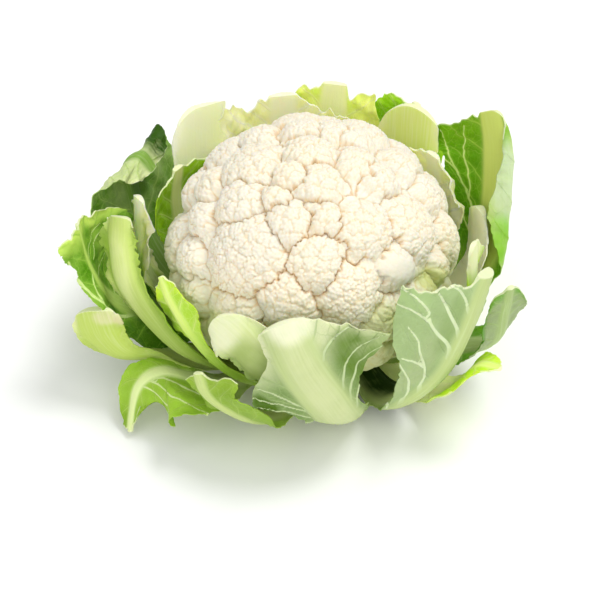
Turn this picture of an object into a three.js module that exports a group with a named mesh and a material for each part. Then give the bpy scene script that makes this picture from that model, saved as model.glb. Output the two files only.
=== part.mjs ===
// A trimmed head of cauliflower: the curd, the cut stalk, and the cropped leaves that stand round them.
// Millimetres, +Z up. The origin is the centre of the stalk's cut face, and -Y is the front.
// Azimuths are degrees round +Z from +X: 0 is the right side, 90 the back, 180 the left and 270 the front.
import * as THREE from "three";
import { mergeVertices } from "three/addons/utils/BufferGeometryUtils.js";

// Driving dimensions
const CURD_RADIUS = 78; // the white head, measured over its florets
const CURD_HEIGHT = 66; // height of the head's centre above the cut face
const CURD_FACES = 16; // each side of the starting icosahedron is split into one more than this
const UNDERSIDE_START = 80; // degrees from straight up where the head starts to draw in
const UNDERSIDE_DEPTH = 0.5; // share of the radius that is lost right underneath
const LINE_OF_SIGHT = 40; // elevation in degrees from which the seen florets are laid out
const FLORET_DROP = 4.2; // how far a floret's edge lies under its top
const CREASE_DEPTH = 2.2; // extra depth of the groove between two florets
const CREASE_WIDTH = 0.16; // width of that groove, as a share of a floret's radius
const LOBE_SIZE = 5.5; // spacing of the small lobes on a floret
const LOBE_RELIEF = 1.1; // how far those lobes stand out
const STALK_RADIUS = 26;
const STALK_HEIGHT = 24.4;
const STALK_SIDES = 40;
const STALK_EDGE = 1.5; // bevel round the cut face
const BLADE = 1.3; // thickness of a leaf's blade
const RIB_FLANGE = 1.6; // least width of blade beside a midrib
const RIB_INSIDE = 0.3; // share of a midrib's thickness that stands out on the inner face

// Florets that the front shows, each as [across, up, radius], seen square on from LINE_OF_SIGHT
const FLORETS_SEEN = [
  [-36, 2, 22],
  [1, -2, 15.5],
  [29, 16, 15.5],
  [-13, 19, 12],
  [-40, 31, 14],
  [-20, 33, 8],
  [-12, 46, 10],
  [3, 41, 12.5],
  [8, 21, 9.5],
  [-35, 52, 17],
  [-30, 68, 12],
  [-2, 58, 14],
  [-5, 71, 12],
  [11, 70, 12],
  [24, 52, 12],
  [22, 67, 12],
  [36, 43, 11],
  [-65, 40, 12],
  [-60, 23, 10.5],
  [-67, 1, 12],
  [-66, -20, 12],
  [-13, -23, 16],
  [21, -20, 17],
  [44, -4, 12],
  [54, 17, 18],
  [62, 38, 13],
  [50, 52, 13],
  [68, -4, 9],
  [40, -32, 14],
  [-40, -32, 15],
];
// The rest are filled in along a golden-angle spiral, the large ones first
const FILLER_RADII = [16, 12, 8.5];
const FILLER_STEPS = 420;
const FILLER_SPACING = 0.8; // share of two radii that two centres stay apart
const GOLDEN_ANGLE = Math.PI * (3 - Math.sqrt(5));

const DEG = Math.PI / 180;
const clamp = (x, low, high) => Math.min(high, Math.max(low, x));
const smooth = (low, high, x) => THREE.MathUtils.smoothstep(x, low, high);

// A value part of the way along a list of evenly spaced stations, on a smooth curve through all of them
function along(stations, t) {
  const last = stations.length - 1;
  if (last === 0) return stations[0];
  const place = clamp(t, 0, 1) * last;
  const i = Math.min(Math.floor(place), last - 1);
  const x = place - i;
  const b = stations[i];
  const c = stations[i + 1];
  const a = i > 0 ? stations[i - 1] : 2 * b - c;
  const d = i + 2 <= last ? stations[i + 2] : 2 * c - b;
  return b + 0.5 * x * (c - a + x * (2 * a - 5 * b + 4 * c - d + x * (3 * (b - c) + d - a)));
}

// The curd

function floretDirections() {
  const tilt = LINE_OF_SIGHT * DEG;
  const up = new THREE.Vector3(0, Math.sin(tilt), Math.cos(tilt));
  const near = new THREE.Vector3(0, -Math.cos(tilt), Math.sin(tilt));
  const florets = FLORETS_SEEN.map(([across, rise, radius]) => {
    const depth = Math.sqrt(Math.max(0, CURD_RADIUS ** 2 - across ** 2 - rise ** 2));
    const place = new THREE.Vector3(across, 0, 0).addScaledVector(up, rise).addScaledVector(near, depth);
    return { place: place.normalize(), radius };
  });
  for (const radius of FILLER_RADII) {
    for (let k = 0; k < FILLER_STEPS; k++) {
      const height = 1 - (1.75 * (k + 0.5)) / FILLER_STEPS;
      const reach = Math.sqrt(1 - height * height);
      const turn = k * GOLDEN_ANGLE;
      const place = new THREE.Vector3(reach * Math.cos(turn), reach * Math.sin(turn), height);
      const clear = florets.every(
        (f) => f.place.distanceTo(place) * CURD_RADIUS > FILLER_SPACING * (f.radius + radius),
      );
      if (clear) florets.push({ place, radius });
    }
  }
  return florets;
}

// The head's radius without its florets: a ball that draws in underneath
function curdHull(direction) {
  const fromTop = Math.acos(clamp(direction.z, -1, 1)) / DEG;
  return CURD_RADIUS * (1 - UNDERSIDE_DEPTH * smooth(UNDERSIDE_START, 180, fromTop));
}

// How far the surface lies under the hull in a direction
function floretRelief(direction, florets) {
  let nearest = Infinity;
  let second = Infinity;
  let owner = null;
  for (const floret of florets) {
    const share = (floret.place.distanceTo(direction) * CURD_RADIUS) / floret.radius;
    if (share < nearest) {
      second = nearest;
      nearest = share;
      owner = floret;
    } else if (share < second) second = share;
  }
  const dome = FLORET_DROP * Math.min(1.4, nearest ** 2.6);
  const groove = CREASE_DEPTH * Math.exp(-(((second - nearest) / CREASE_WIDTH) ** 2));
  const offset = direction.clone().sub(owner.place).multiplyScalar(CURD_RADIUS / LOBE_SIZE);
  const lobes = Math.cos(offset.x * 3.1 + 1) * Math.cos(offset.y * 3.1) * Math.cos(offset.z * 3.1 - 1);
  const below = smooth(100, 150, Math.acos(clamp(direction.z, -1, 1)) / DEG);
  return (dome + groove - LOBE_RELIEF * lobes) * (1 - below);
}

function curdGeometry() {
  const ball = new THREE.IcosahedronGeometry(1, CURD_FACES);
  ball.deleteAttribute("normal");
  ball.deleteAttribute("uv");
  const geometry = mergeVertices(ball, 1e-4);
  const florets = floretDirections();
  const position = geometry.getAttribute("position");
  const direction = new THREE.Vector3();
  for (let i = 0; i < position.count; i++) {
    direction.fromBufferAttribute(position, i).normalize();
    const radius = curdHull(direction) - floretRelief(direction, florets);
    position.setXYZ(i, direction.x * radius, direction.y * radius, direction.z * radius + CURD_HEIGHT);
  }
  geometry.computeVertexNormals();
  return geometry;
}

// The stalk: a short stump, cut flat, with the edge of the cut softened
function stalkGeometry() {
  const neck = STALK_RADIUS * 0.8;
  const outline = [
    [0, 0],
    [STALK_RADIUS - STALK_EDGE, 0],
    [STALK_RADIUS, STALK_EDGE],
    [STALK_RADIUS - 0.5, STALK_HEIGHT * 0.55],
    [neck, STALK_HEIGHT],
    [0, STALK_HEIGHT],
  ].map(([r, z]) => new THREE.Vector2(r, z));
  const geometry = new THREE.LatheGeometry(outline, STALK_SIDES);
  geometry.rotateX(Math.PI / 2);
  return geometry;
}

// The leaves. Each has
//   path      the midrib's middle from the stalk to the cut end, as [azimuth, radius, height]
//   rib       half the midrib's width at evenly spaced stations along it
//   bulk      how far the midrib stands out from the blade at evenly spaced stations
//   ccw, cw   the sides of rising and of falling azimuth, each with, at evenly spaced stations,
//             width  half the leaf's width
//             fold   degrees that the blade turns towards the head where it leaves the midrib
//             curl   degrees that it bends on from there to its edge
//             slant  share of the leaf's length by which the end is cut back at the edge
//   roll      degrees that the leaf turns about its midrib, at evenly spaced stations
//   wave      [height, waves along the edge, start] of the ripple at the edge
//   grid      steps along the leaf, and across each side outside the midrib
const RIB_STEPS = [0, 0.62, 1]; // places across half a midrib, as shares of its half width
const FOLD_SPAN = 0.35; // a fold takes up this share of the midrib's half width, outside the midrib
const BEND_STEPS = 24; // steps in which a blade's bend is summed

const LEAVES = [
  {
    name: "leaf_front_rib",
    path: [
      [286, 27.5, 13], [284, 52, 9.5], [281, 76, 27], [275, 92, 50],
      [267, 96, 77], [260, 91, 101],
    ],
    rib: [8, 11.5, 13, 13, 12.5, 12.5],
    bulk: [4.4, 6.5, 6.5, 5, 4, 3.5],
    ccw: {
      width: [9.6, 11.5, 13.1, 14, 14.6, 14.6, 14.6, 15, 29, 45, 36],
      fold: [0],
      curl: [0, 0, 10, 20, 20, 10],
      slant: 0.15,
    },
    cw: {
      width: [9.6, 11.5, 13.1, 14.6, 14.6, 16, 24, 35, 29, 14.5, 14.5],
      fold: [0],
      curl: [0, 0, 0, 10, 20, 20],
      slant: 0.03,
    },
    roll: [0, 0, 0, 4, 8, 8],
    wave: [2, 3, 0.4],
    grid: [13, 3],
  },
  {
    name: "leaf_front_inner",
    path: [
      [268, 27.5, 20.5], [267, 50, 20.5], [264, 74, 38], [259, 85, 60],
      [248, 86, 76], [235, 84, 86],
    ],
    rib: [6, 9, 11.5, 12, 12, 12],
    bulk: [4, 4, 4, 3.5, 3, 3],
    ccw: {
      width: [7.6, 10.6, 14, 18, 24, 22],
      fold: [0],
      curl: [0, 0, 10, 15, 20, 20],
      slant: 0.3,
    },
    cw: {
      width: [7.6, 10.6, 14, 15, 16, 15],
      fold: [0],
      curl: [0, 0, 10, 10, 10, 10],
      slant: 0.02,
    },
    roll: [0],
    wave: [1.2, 4, 0.1],
    grid: [10, 2],
  },
  {
    name: "leaf_front_low",
    path: [
      [252.5, 27.5, 6.5], [251, 54, 8], [247, 75, 19], [243, 89, 33],
      [237, 97, 47], [234, 97, 59],
    ],
    rib: [8, 8.5, 7, 5, 4, 3],
    bulk: [4.4, 4, 3, 2.5, 2, 1.6],
    ccw: {
      width: [9.6, 11, 14, 21, 22, 21],
      fold: [0],
      curl: [0, 0, 0, 10, 10, 0],
      slant: 0.05,
    },
    cw: { width: [9.6, 12, 14, 12, 10, 9], fold: [0], curl: [0], slant: 0.05 },
    roll: [0],
    wave: [1.5, 2.5, 0.2],
    grid: [12, 2],
  },
  {
    name: "leaf_front_left_hanging",
    path: [
      [212, 27.5, 6.5], [215, 54, 10], [216, 76, 24], [211, 91, 31],
      [210, 104, 24], [214, 114, 4],
    ],
    rib: [8, 7, 5, 3.5, 2.5, 1.5],
    bulk: [4.4, 4, 3, 2.5, 2, 1.2],
    ccw: {
      width: [9.6, 11, 24, 38, 27, 6],
      fold: [0],
      curl: [0, 0, -5, -5, -8, -10],
      slant: 0.1,
    },
    cw: { width: [9.6, 9, 7.6, 11, 13, 5], fold: [0], curl: [0], slant: 0 },
    roll: [0, 0, -5, -8, -5, 0],
    wave: [2, 2, 0.6],
    grid: [12, 3],
  },
  {
    name: "leaf_left_broad",
    path: [
      [161, 27.5, 13.5], [168, 58, 14], [178, 86, 30], [186, 103, 47],
      [189, 111, 64], [188, 117, 82], [186, 120, 101],
    ],
    rib: [7, 9, 8, 6, 4, 3, 1.5],
    bulk: [4, 4.5, 4, 3, 2.4, 1.6, 1],
    ccw: {
      width: [8.6, 11, 19, 18, 14, 14, 18],
      fold: [0],
      curl: [0, 0, 0, 0, 0, -50, -90],
      slant: 0.02,
    },
    cw: {
      width: [8.6, 10.6, 14, 30, 46, 50, 44],
      fold: [0],
      curl: [0, 0, 10, 30, 50, 60, 60],
      slant: 0.1,
    },
    roll: [0],
    wave: [2, 2.5, 0.3],
    grid: [13, 4],
  },
  {
    name: "leaf_left_rib",
    path: [
      [213, 27.5, 20.5], [215, 50, 22], [214, 76, 42], [207, 89, 59],
      [195, 97, 72], [187, 99, 86], [182, 98, 99],
    ],
    rib: [5.5, 7.5, 9, 9.5, 9.5, 8.5, 7.5],
    bulk: [4, 5, 5.5, 5.5, 5.5, 5, 4.5],
    ccw: { width: [7.1, 9.1, 11, 12, 12, 11, 9.5], fold: [0], curl: [0], slant: 0.02 },
    cw: {
      width: [7.1, 9.1, 11, 13, 16, 15, 12],
      fold: [0],
      curl: [0, 0, 10, 20, 20, 20, 10],
      slant: 0,
    },
    roll: [0, 0, 10, 30, 45, 45, 45],
    wave: [1, 4, 0.3],
    grid: [12, 2],
  },
  {
    name: "leaf_left_inner",
    path: [
      [181, 27.5, 20.5], [180, 50, 21], [179, 74, 36], [175, 88, 56],
      [169, 92, 74], [165, 94, 91],
    ],
    rib: [6, 7, 6.5, 6, 6, 6],
    bulk: [3.5, 3.5, 3, 3, 3, 2.5],
    ccw: { width: [7.6, 9, 12, 15, 16, 14], fold: [0], curl: [0, 0, 10, 15, 10, 10], slant: 0.14 },
    cw: { width: [7.6, 9, 12, 16, 18, 14], fold: [0], curl: [0, 0, 10, 15, 15, 10], slant: 0.05 },
    roll: [0, 0, 0, 10, 35, 40],
    wave: [1.6, 4.5, 0.2],
    grid: [11, 2],
  },
  {
    name: "leaf_left_tongue",
    path: [
      [240.5, 27.5, 20.5], [238, 50, 21], [233, 72, 42], [224, 81, 60],
      [213, 84, 75], [206, 85, 87],
    ],
    rib: [3.5, 4, 4, 3.5, 3, 2],
    bulk: [3, 3, 2.5, 2, 1.5, 1],
    ccw: { width: [5.1, 5.6, 5.6, 7, 12, 9], fold: [0], curl: [0, 0, 8, 8, 8, 0], slant: 0.1 },
    cw: { width: [5.1, 5.6, 5.6, 6, 10, 8], fold: [0], curl: [0, 0, 8, 8, 8, 0], slant: 0.05 },
    roll: [0, 0, 0, 10, 20, 20],
    wave: [1, 2, 0],
    grid: [9, 2],
  },
  {
    name: "leaf_back_left_strip",
    path: [
      [145, 27.5, 20.5], [145, 50, 21], [146, 72, 36], [147, 84, 54],
      [148, 86.5, 74], [147, 85, 93],
    ],
    rib: [6, 7, 7, 6, 5, 4],
    bulk: [3.5, 3.5, 3, 2.5, 2, 2],
    ccw: { width: [7.6, 9, 14, 20, 24, 22], fold: [0], curl: [0, 0, 10, 15, 20, 20], slant: 0.05 },
    cw: { width: [7.6, 9, 14, 20, 26, 26], fold: [0], curl: [0, 0, 10, 15, 20, 20], slant: 0.02 },
    roll: [0],
    wave: [1, 2, 0.5],
    grid: [10, 3],
  },
  {
    name: "leaf_back_left_dark",
    path: [
      [156, 27.5, 6.5], [154, 58, 9], [153, 86, 25], [152, 102, 44],
      [151, 110, 66], [151, 113, 88], [150, 106, 96], [149, 99, 88],
    ],
    rib: [8, 10, 9, 8, 6, 5, 4, 3],
    bulk: [4.4, 5, 4.5, 3.5, 3, 2, 1.6, 1.2],
    ccw: {
      width: [9.6, 12, 20, 28, 36, 38, 28, 18],
      fold: [0],
      curl: [0, 0, 10, 10, 10, 0, 0, 0],
      slant: 0.04,
    },
    cw: {
      width: [9.6, 12, 20, 28, 36, 38, 28, 18],
      fold: [0],
      curl: [0, 0, 10, 10, 10, 0, 0, 0],
      slant: 0.02,
    },
    roll: [0],
    wave: [1.5, 2.5, 0.8],
    grid: [12, 3],
  },
  {
    name: "leaf_back_left_pale",
    path: [
      [127, 27.5, 13.5], [126, 58, 15], [127, 82, 34], [129, 94, 56],
      [129, 99, 82], [127, 102, 108],
    ],
    rib: [7.2, 12, 14, 15.5, 16, 14],
    bulk: [4.4, 5.5, 5, 4.5, 4, 3],
    ccw: { width: [8.8, 14, 18, 22, 21, 16], fold: [0], curl: [0, 0, 10, 20, 20, 10], slant: 0.08 },
    cw: { width: [8.8, 14, 18, 21, 20, 17], fold: [0], curl: [0, 0, 10, 20, 20, 10], slant: 0 },
    roll: [0],
    wave: [1, 2, 0.1],
    grid: [10, 2],
  },
  {
    name: "leaf_back_inner",
    path: [
      [98, 27.5, 20.5], [98, 50, 21], [99, 74, 38], [100, 86, 58],
      [100, 90, 84], [100, 90, 111],
    ],
    rib: [7, 9, 10, 10, 9, 8],
    bulk: [4, 4, 3.5, 3, 3, 2.5],
    ccw: { width: [8.6, 11, 18, 28, 36, 36], fold: [0], curl: [0, 0, 10, 20, 30, 30], slant: 0.05 },
    cw: { width: [8.6, 11, 18, 28, 38, 40], fold: [0], curl: [0, 0, 10, 20, 30, 30], slant: 0.06 },
    roll: [0],
    wave: [2, 5, 0.3],
    grid: [11, 3],
  },
  {
    name: "leaf_back_outer",
    path: [
      [89.5, 27.5, 13.5], [89, 58, 15], [88, 84, 34], [86, 98, 56],
      [84, 103, 82], [83, 106, 107],
    ],
    rib: [7.2, 11, 12, 11, 9, 7],
    bulk: [4.4, 5, 5, 4, 3.5, 3],
    ccw: { width: [8.8, 13, 20, 30, 34, 28], fold: [0], curl: [0, 0, 10, 20, 25, 10], slant: 0.04 },
    cw: { width: [8.8, 13, 18, 24, 28, 24], fold: [0], curl: [0, 0, 10, 20, 25, 10], slant: 0 },
    roll: [0],
    wave: [2.2, 4, 0.6],
    grid: [10, 2],
  },
  {
    name: "leaf_back_right_pale",
    path: [
      [52.5, 27.5, 13.5], [52, 58, 15], [52, 82, 34], [54, 93, 56],
      [56, 97, 82], [57, 100, 107],
    ],
    rib: [7.2, 12, 15, 17, 17, 16],
    bulk: [4.4, 5.5, 5, 4.5, 4, 3],
    ccw: { width: [8.8, 14, 19, 23, 23, 19], fold: [0], curl: [0, 0, 10, 20, 20, 10], slant: 0.1 },
    cw: { width: [8.8, 14, 17, 18.6, 18.6, 17.6], fold: [0], curl: [0, 0, 10, 20, 20, 10], slant: 0.06 },
    roll: [0],
    wave: [1, 2, 0.7],
    grid: [10, 2],
  },
  {
    name: "leaf_back_right_outer",
    path: [[66, 27.5, 6.5], [66, 56, 8], [65, 88, 26], [64, 108, 52], [62, 113, 78], [60, 116, 97]],
    rib: [8, 10, 10, 8, 5, 2.5],
    bulk: [4.4, 5, 4.5, 4, 2.6, 1.6],
    ccw: { width: [9.6, 12, 20, 26, 26, 20], fold: [0], curl: [0, 0, 10, 20, 10, 0], slant: 0.04 },
    cw: { width: [9.6, 12, 20, 26, 26, 20], fold: [0], curl: [0, 0, 10, 20, 10, 0], slant: 0.1 },
    roll: [0],
    wave: [2, 3, 0],
    grid: [10, 3],
  },
  {
    name: "leaf_right_inner",
    path: [
      [43, 27.5, 20.5], [43, 50, 21], [42, 72, 36], [41, 84, 54],
      [40, 87, 76], [40, 84.5, 96],
    ],
    rib: [6, 8, 8, 7, 6, 5],
    bulk: [3.5, 3.5, 3, 2.5, 2.5, 2],
    ccw: { width: [7.6, 10, 16, 24, 30, 30], fold: [0], curl: [0, 0, 10, 20, 30, 30], slant: 0.1 },
    cw: { width: [7.6, 10, 16, 24, 30, 30], fold: [0], curl: [0, 0, 10, 20, 30, 30], slant: 0.14 },
    roll: [0],
    wave: [2, 5, 0.3],
    grid: [11, 3],
  },
  {
    name: "leaf_right_broad",
    path: [
      [15.5, 27.5, 13.5], [14, 58, 14], [12, 82, 33], [13, 96, 57],
      [17, 102, 82], [24, 107, 106], [31, 110, 123],
    ],
    rib: [7.2, 12, 13, 13, 13, 11, 8],
    bulk: [4.4, 5.5, 5, 5, 4, 3.5, 2.4],
    ccw: {
      width: [8.8, 14, 18, 30, 40, 38, 50],
      fold: [0],
      curl: [0, 0, 10, 20, 32, 14, 0],
      slant: 0,
    },
    cw: {
      width: [8.8, 14, 15, 17, 25, 24, 14],
      fold: [0, 0, 0, 20, 80, 100, 80],
      curl: [0],
      slant: 0.12,
    },
    roll: [0, 0, 0, 6, 8, 10, 12],
    wave: [2, 3, 0.2],
    grid: [13, 4],
  },
  {
    name: "leaf_right_stub",
    path: [[8, 27.5, 20.5], [8, 50, 21], [8, 74, 36], [10, 87, 53], [14, 91, 68], [18, 92, 81]],
    rib: [6.6, 9, 10, 11, 11, 10],
    bulk: [4, 4, 4, 4, 4, 3.5],
    ccw: { width: [8.2, 11, 12, 13, 13, 12], fold: [0], curl: [0], slant: 0.05 },
    cw: { width: [8.2, 11, 11, 16, 18, 11], fold: [0], curl: [0, 0, 0, 10, 10, 0], slant: 0.1 },
    roll: [0],
    wave: [0.8, 2, 0],
    grid: [9, 2],
  },
  {
    name: "leaf_right_small",
    path: [
      [334, 27.5, 20.5], [336, 50, 21], [338, 72, 36], [339, 84, 54],
      [339, 87, 78], [340, 85.5, 101],
    ],
    rib: [5.5, 5.5, 5.5, 6, 6, 5],
    bulk: [3.5, 3, 3, 2.5, 2, 1.5],
    ccw: { width: [7.1, 8, 11, 15, 17, 13], fold: [0], curl: [0, 0, 8, 10, 10, 0], slant: 0.05 },
    cw: { width: [7.1, 8, 10, 12, 12, 8], fold: [0], curl: [0, 0, 8, 10, 10, 0], slant: 0.1 },
    roll: [0],
    wave: [1.5, 3, 0.3],
    grid: [9, 2],
  },
  {
    name: "leaf_front_right",
    path: [
      [325, 28.6, 13.5], [312, 54, 10.5], [309, 76, 25], [315, 92, 50],
      [320, 99, 78], [324, 104, 109],
    ],
    rib: [7.6, 9, 8.5, 8, 7.5, 6.5],
    bulk: [4.4, 6, 6, 6, 5.5, 5],
    ccw: { width: [9.2, 11, 10.5, 10, 10, 9], fold: [0], curl: [0], slant: 0 },
    cw: {
      width: [9.2, 10.6, 12, 28, 44, 48],
      fold: [0],
      curl: [0, 0, 10, 30, 50, 60],
      slant: 0.03,
    },
    roll: [0],
    wave: [2, 2.5, 0.1],
    grid: [13, 4],
  },
  {
    name: "leaf_right_outer",
    path: [
      [10, 27.5, 6.5], [1, 58, 7], [349, 86, 22], [339, 102, 46],
      [334, 108, 74], [331, 112, 94],
    ],
    rib: [7.6, 8, 6, 4, 3, 2],
    bulk: [4.4, 4, 3.5, 2.5, 2, 1.5],
    ccw: { width: [9.2, 11, 14, 16, 15, 9], fold: [0], curl: [0, 0, 10, 10, 0, -20], slant: 0.1 },
    cw: { width: [9.2, 11, 13, 14, 14, 8], fold: [0], curl: [0, 0, 10, 10, 0, 0], slant: 0.1 },
    roll: [0, 0, 0, -20, -35, -35],
    wave: [1.5, 2, 0.3],
    grid: [11, 2],
  },
  {
    name: "leaf_front_right_low",
    path: [
      [333, 27.5, 5.2], [336, 56, 5.2], [328, 80, 14], [321, 96, 36],
      [322, 106, 52], [323, 118, 55],
    ],
    rib: [7.6, 8, 6, 4, 3, 2],
    bulk: [4.4, 4, 3, 2, 1.5, 1],
    ccw: { width: [9.2, 11, 12, 12, 13, 7], fold: [0], curl: [0, 0, 10, 10, 0, 0], slant: 0 },
    cw: { width: [9.2, 11, 13, 12, 13, 7], fold: [0], curl: [0, 0, 10, 10, 0, 0], slant: 0.1 },
    roll: [0],
    wave: [1.5, 2, 0.3],
    grid: [10, 2],
  },
  {
    name: "leaf_left_band",
    path: [
      [197, 27.5, 13.5], [197.5, 60, 14], [198, 86, 26], [199, 104, 34],
      [197, 114, 46], [195, 117, 60],
    ],
    rib: [8, 10, 10.4, 12, 12, 12],
    bulk: [4.4, 5.5, 5, 4.5, 4, 3.5],
    ccw: { width: [9.6, 11.6, 13, 15, 16, 15], fold: [0], curl: [0], slant: 0.02 },
    cw: { width: [9.6, 11.6, 15, 17, 17, 15], fold: [0], curl: [0], slant: 0.1 },
    roll: [0, 5, 32, 48, 54, 55],
    wave: [1, 3, 0.2],
    grid: [11, 2],
  },
];

function cylindrical([azimuth, radius, height]) {
  return [radius * Math.cos(azimuth * DEG), radius * Math.sin(azimuth * DEG), height];
}

// The midrib's place and directions at a share of its length. Outer points away from the head, and across
// towards rising azimuth.
function ribFrame(leaf, t) {
  const points = leaf.path.map(cylindrical);
  const at = (s) => new THREE.Vector3(...[0, 1, 2].map((axis) => along(points.map((p) => p[axis]), s)));
  const step = 1e-3;
  const place = at(t);
  const forward = at(Math.min(1, t + step)).sub(at(Math.max(0, t - step))).normalize();
  const turn = Math.atan2(place.y, place.x);
  const round = new THREE.Vector3(-Math.sin(turn), Math.cos(turn), 0);
  const outer = round.clone().cross(forward).normalize();
  const across = forward.clone().cross(outer);
  const roll = along(leaf.roll, t) * DEG;
  return {
    place,
    outer: outer.clone().multiplyScalar(Math.cos(roll)).addScaledVector(across, Math.sin(roll)),
    across: across.clone().multiplyScalar(Math.cos(roll)).addScaledVector(outer, -Math.sin(roll)),
  };
}

const halfWidth = (leaf, side, t) => Math.max(along(leaf[side].width, t), along(leaf.rib, t) + RIB_FLANGE);

// The middle of the blade at a share t of the length and a signed distance from the midrib's middle, and its
// outward normal there
function bladePoint(leaf, t, distance) {
  const sign = Math.sign(distance) || 1;
  const side = sign < 0 ? "cw" : "ccw";
  const width = halfWidth(leaf, side, t);
  const rib = along(leaf.rib, t);
  const reach = Math.abs(distance);
  const fold = along(leaf[side].fold, t) * DEG;
  const curl = along(leaf[side].curl, t) * DEG;
  const angle = (a) => fold * smooth(rib, rib * (1 + FOLD_SPAN), a) + (curl * a) / width;
  let sideways = 0;
  let inwards = 0;
  for (let k = 0; k < BEND_STEPS; k++) {
    const here = angle((reach * (k + 0.5)) / BEND_STEPS);
    sideways += (Math.cos(here) * reach) / BEND_STEPS;
    inwards += (Math.sin(here) * reach) / BEND_STEPS;
  }
  const share = reach / width;
  const frame = ribFrame(leaf, t * (1 - leaf[side].slant * share * share));
  const normal = frame.outer.clone().multiplyScalar(Math.cos(angle(reach)));
  normal.addScaledVector(frame.across, sign * Math.sin(angle(reach)));
  const [height, waves, start] = leaf.wave;
  const ripple = height * share ** 2 * Math.sin(2 * Math.PI * (waves * t + start + (sign < 0 ? 0.37 : 0)));
  const place = frame.place.clone().addScaledVector(frame.across, sign * sideways);
  place.addScaledVector(frame.outer, -inwards).addScaledVector(normal, ripple);
  return { place, normal };
}

// Distances across the leaf, from the cw edge to the ccw edge
function acrossDistances(leaf, t, steps) {
  const rib = along(leaf.rib, t);
  const half = (side) => {
    const width = halfWidth(leaf, side, t);
    const inner = RIB_STEPS.map((share) => share * rib);
    const outer = Array.from({ length: steps }, (_, k) => rib + ((width - rib) * (k + 1)) / steps);
    return [...inner, ...outer];
  };
  const cw = half("cw").map((d) => -d).reverse();
  return [...cw, ...half("ccw").slice(1)];
}

function leafGeometry(leaf) {
  const [steps, sideSteps] = leaf.grid;
  const outerFace = [];
  const innerFace = [];
  let columns = 0;
  for (let i = 0; i <= steps; i++) {
    const t = i / steps;
    const rib = along(leaf.rib, t);
    const distances = acrossDistances(leaf, t, sideSteps);
    columns = distances.length;
    for (const distance of distances) {
      const { place, normal } = bladePoint(leaf, t, distance);
      const ridge = Math.max(0, 1 - (distance / rib) ** 2) ** 0.75 * along(leaf.bulk, t);
      outerFace.push(place.clone().addScaledVector(normal, BLADE / 2 + ridge * (1 - RIB_INSIDE)));
      innerFace.push(place.clone().addScaledVector(normal, -BLADE / 2 - ridge * RIB_INSIDE));
    }
  }
  const rows = steps + 1;
  const offset = outerFace.length;
  const index = [];
  const quad = (a, b, c, d) => index.push(a, b, c, a, c, d);
  for (let i = 0; i < steps; i++) {
    for (let j = 0; j < columns - 1; j++) {
      const a = i * columns + j;
      quad(a, a + 1, a + columns + 1, a + columns);
      index.push(offset + a, offset + a + columns + 1, offset + a + 1);
      index.push(offset + a, offset + a + columns, offset + a + columns + 1);
    }
  }
  const rim = [];
  for (let j = 0; j < columns - 1; j++) rim.push(j);
  for (let i = 0; i < rows - 1; i++) rim.push(i * columns + columns - 1);
  for (let j = columns - 1; j > 0; j--) rim.push((rows - 1) * columns + j);
  for (let i = rows - 1; i > 0; i--) rim.push(i * columns);
  rim.forEach((a, k) => {
    const b = rim[(k + 1) % rim.length];
    quad(b, a, offset + a, offset + b);
  });
  const geometry = new THREE.BufferGeometry();
  const flat = [...outerFace, ...innerFace].flatMap((p) => [p.x, p.y, p.z]);
  geometry.setAttribute("position", new THREE.Float32BufferAttribute(flat, 3));
  geometry.setIndex(index);
  geometry.computeVertexNormals();
  return geometry;
}

function named(name, geometry, material) {
  const mesh = new THREE.Mesh(geometry, material);
  mesh.name = name;
  return mesh;
}

const curdMaterial = new THREE.MeshStandardMaterial({ color: "#efe6d6", roughness: 0.75, metalness: 0 });
const stalkMaterial = new THREE.MeshStandardMaterial({ color: "#dfe5b8", roughness: 0.6, metalness: 0 });
const leafMaterial = new THREE.MeshStandardMaterial({ color: "#7fb24a", roughness: 0.5, metalness: 0 });

const cauliflower = new THREE.Group();
cauliflower.add(named("curd", curdGeometry(), curdMaterial));
cauliflower.add(named("stalk", stalkGeometry(), stalkMaterial));
for (const leaf of LEAVES) cauliflower.add(named(leaf.name, leafGeometry(leaf), leafMaterial));

export default cauliflower;
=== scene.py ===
"""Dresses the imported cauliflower: the curd, the cut stalk and the cropped leaves that stand round them.

Lengths are millimetres, as in the part, and MM turns them into Blender's metres. The origin is the centre
of the stalk's cut face, +Z is up and -Y is the front. Azimuths are degrees round +Z from +X.
"""

import logging
import math
import random
from dataclasses import dataclass
from enum import Enum
from typing import Sequence

import bpy
import numpy as np
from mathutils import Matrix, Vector
from mathutils.kdtree import KDTree


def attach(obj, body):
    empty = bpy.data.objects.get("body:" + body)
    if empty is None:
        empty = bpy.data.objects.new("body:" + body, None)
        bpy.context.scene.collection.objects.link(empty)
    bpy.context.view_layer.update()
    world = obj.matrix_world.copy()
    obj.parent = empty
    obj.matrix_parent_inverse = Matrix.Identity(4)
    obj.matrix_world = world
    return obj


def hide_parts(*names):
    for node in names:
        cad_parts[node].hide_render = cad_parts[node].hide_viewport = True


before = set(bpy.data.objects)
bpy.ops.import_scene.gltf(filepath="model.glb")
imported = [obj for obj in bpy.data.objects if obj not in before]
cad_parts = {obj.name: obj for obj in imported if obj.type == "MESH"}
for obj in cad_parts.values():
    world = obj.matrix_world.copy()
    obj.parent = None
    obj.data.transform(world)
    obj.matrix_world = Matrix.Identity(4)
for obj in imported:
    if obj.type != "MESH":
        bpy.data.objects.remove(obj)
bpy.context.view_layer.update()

LOG = logging.getLogger("cauliflower")
MM = 0.001
GOLDEN_ANGLE = math.pi * (3 - math.sqrt(5))

Colour = tuple[float, float, float]
Stations = tuple[float, ...]


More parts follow.
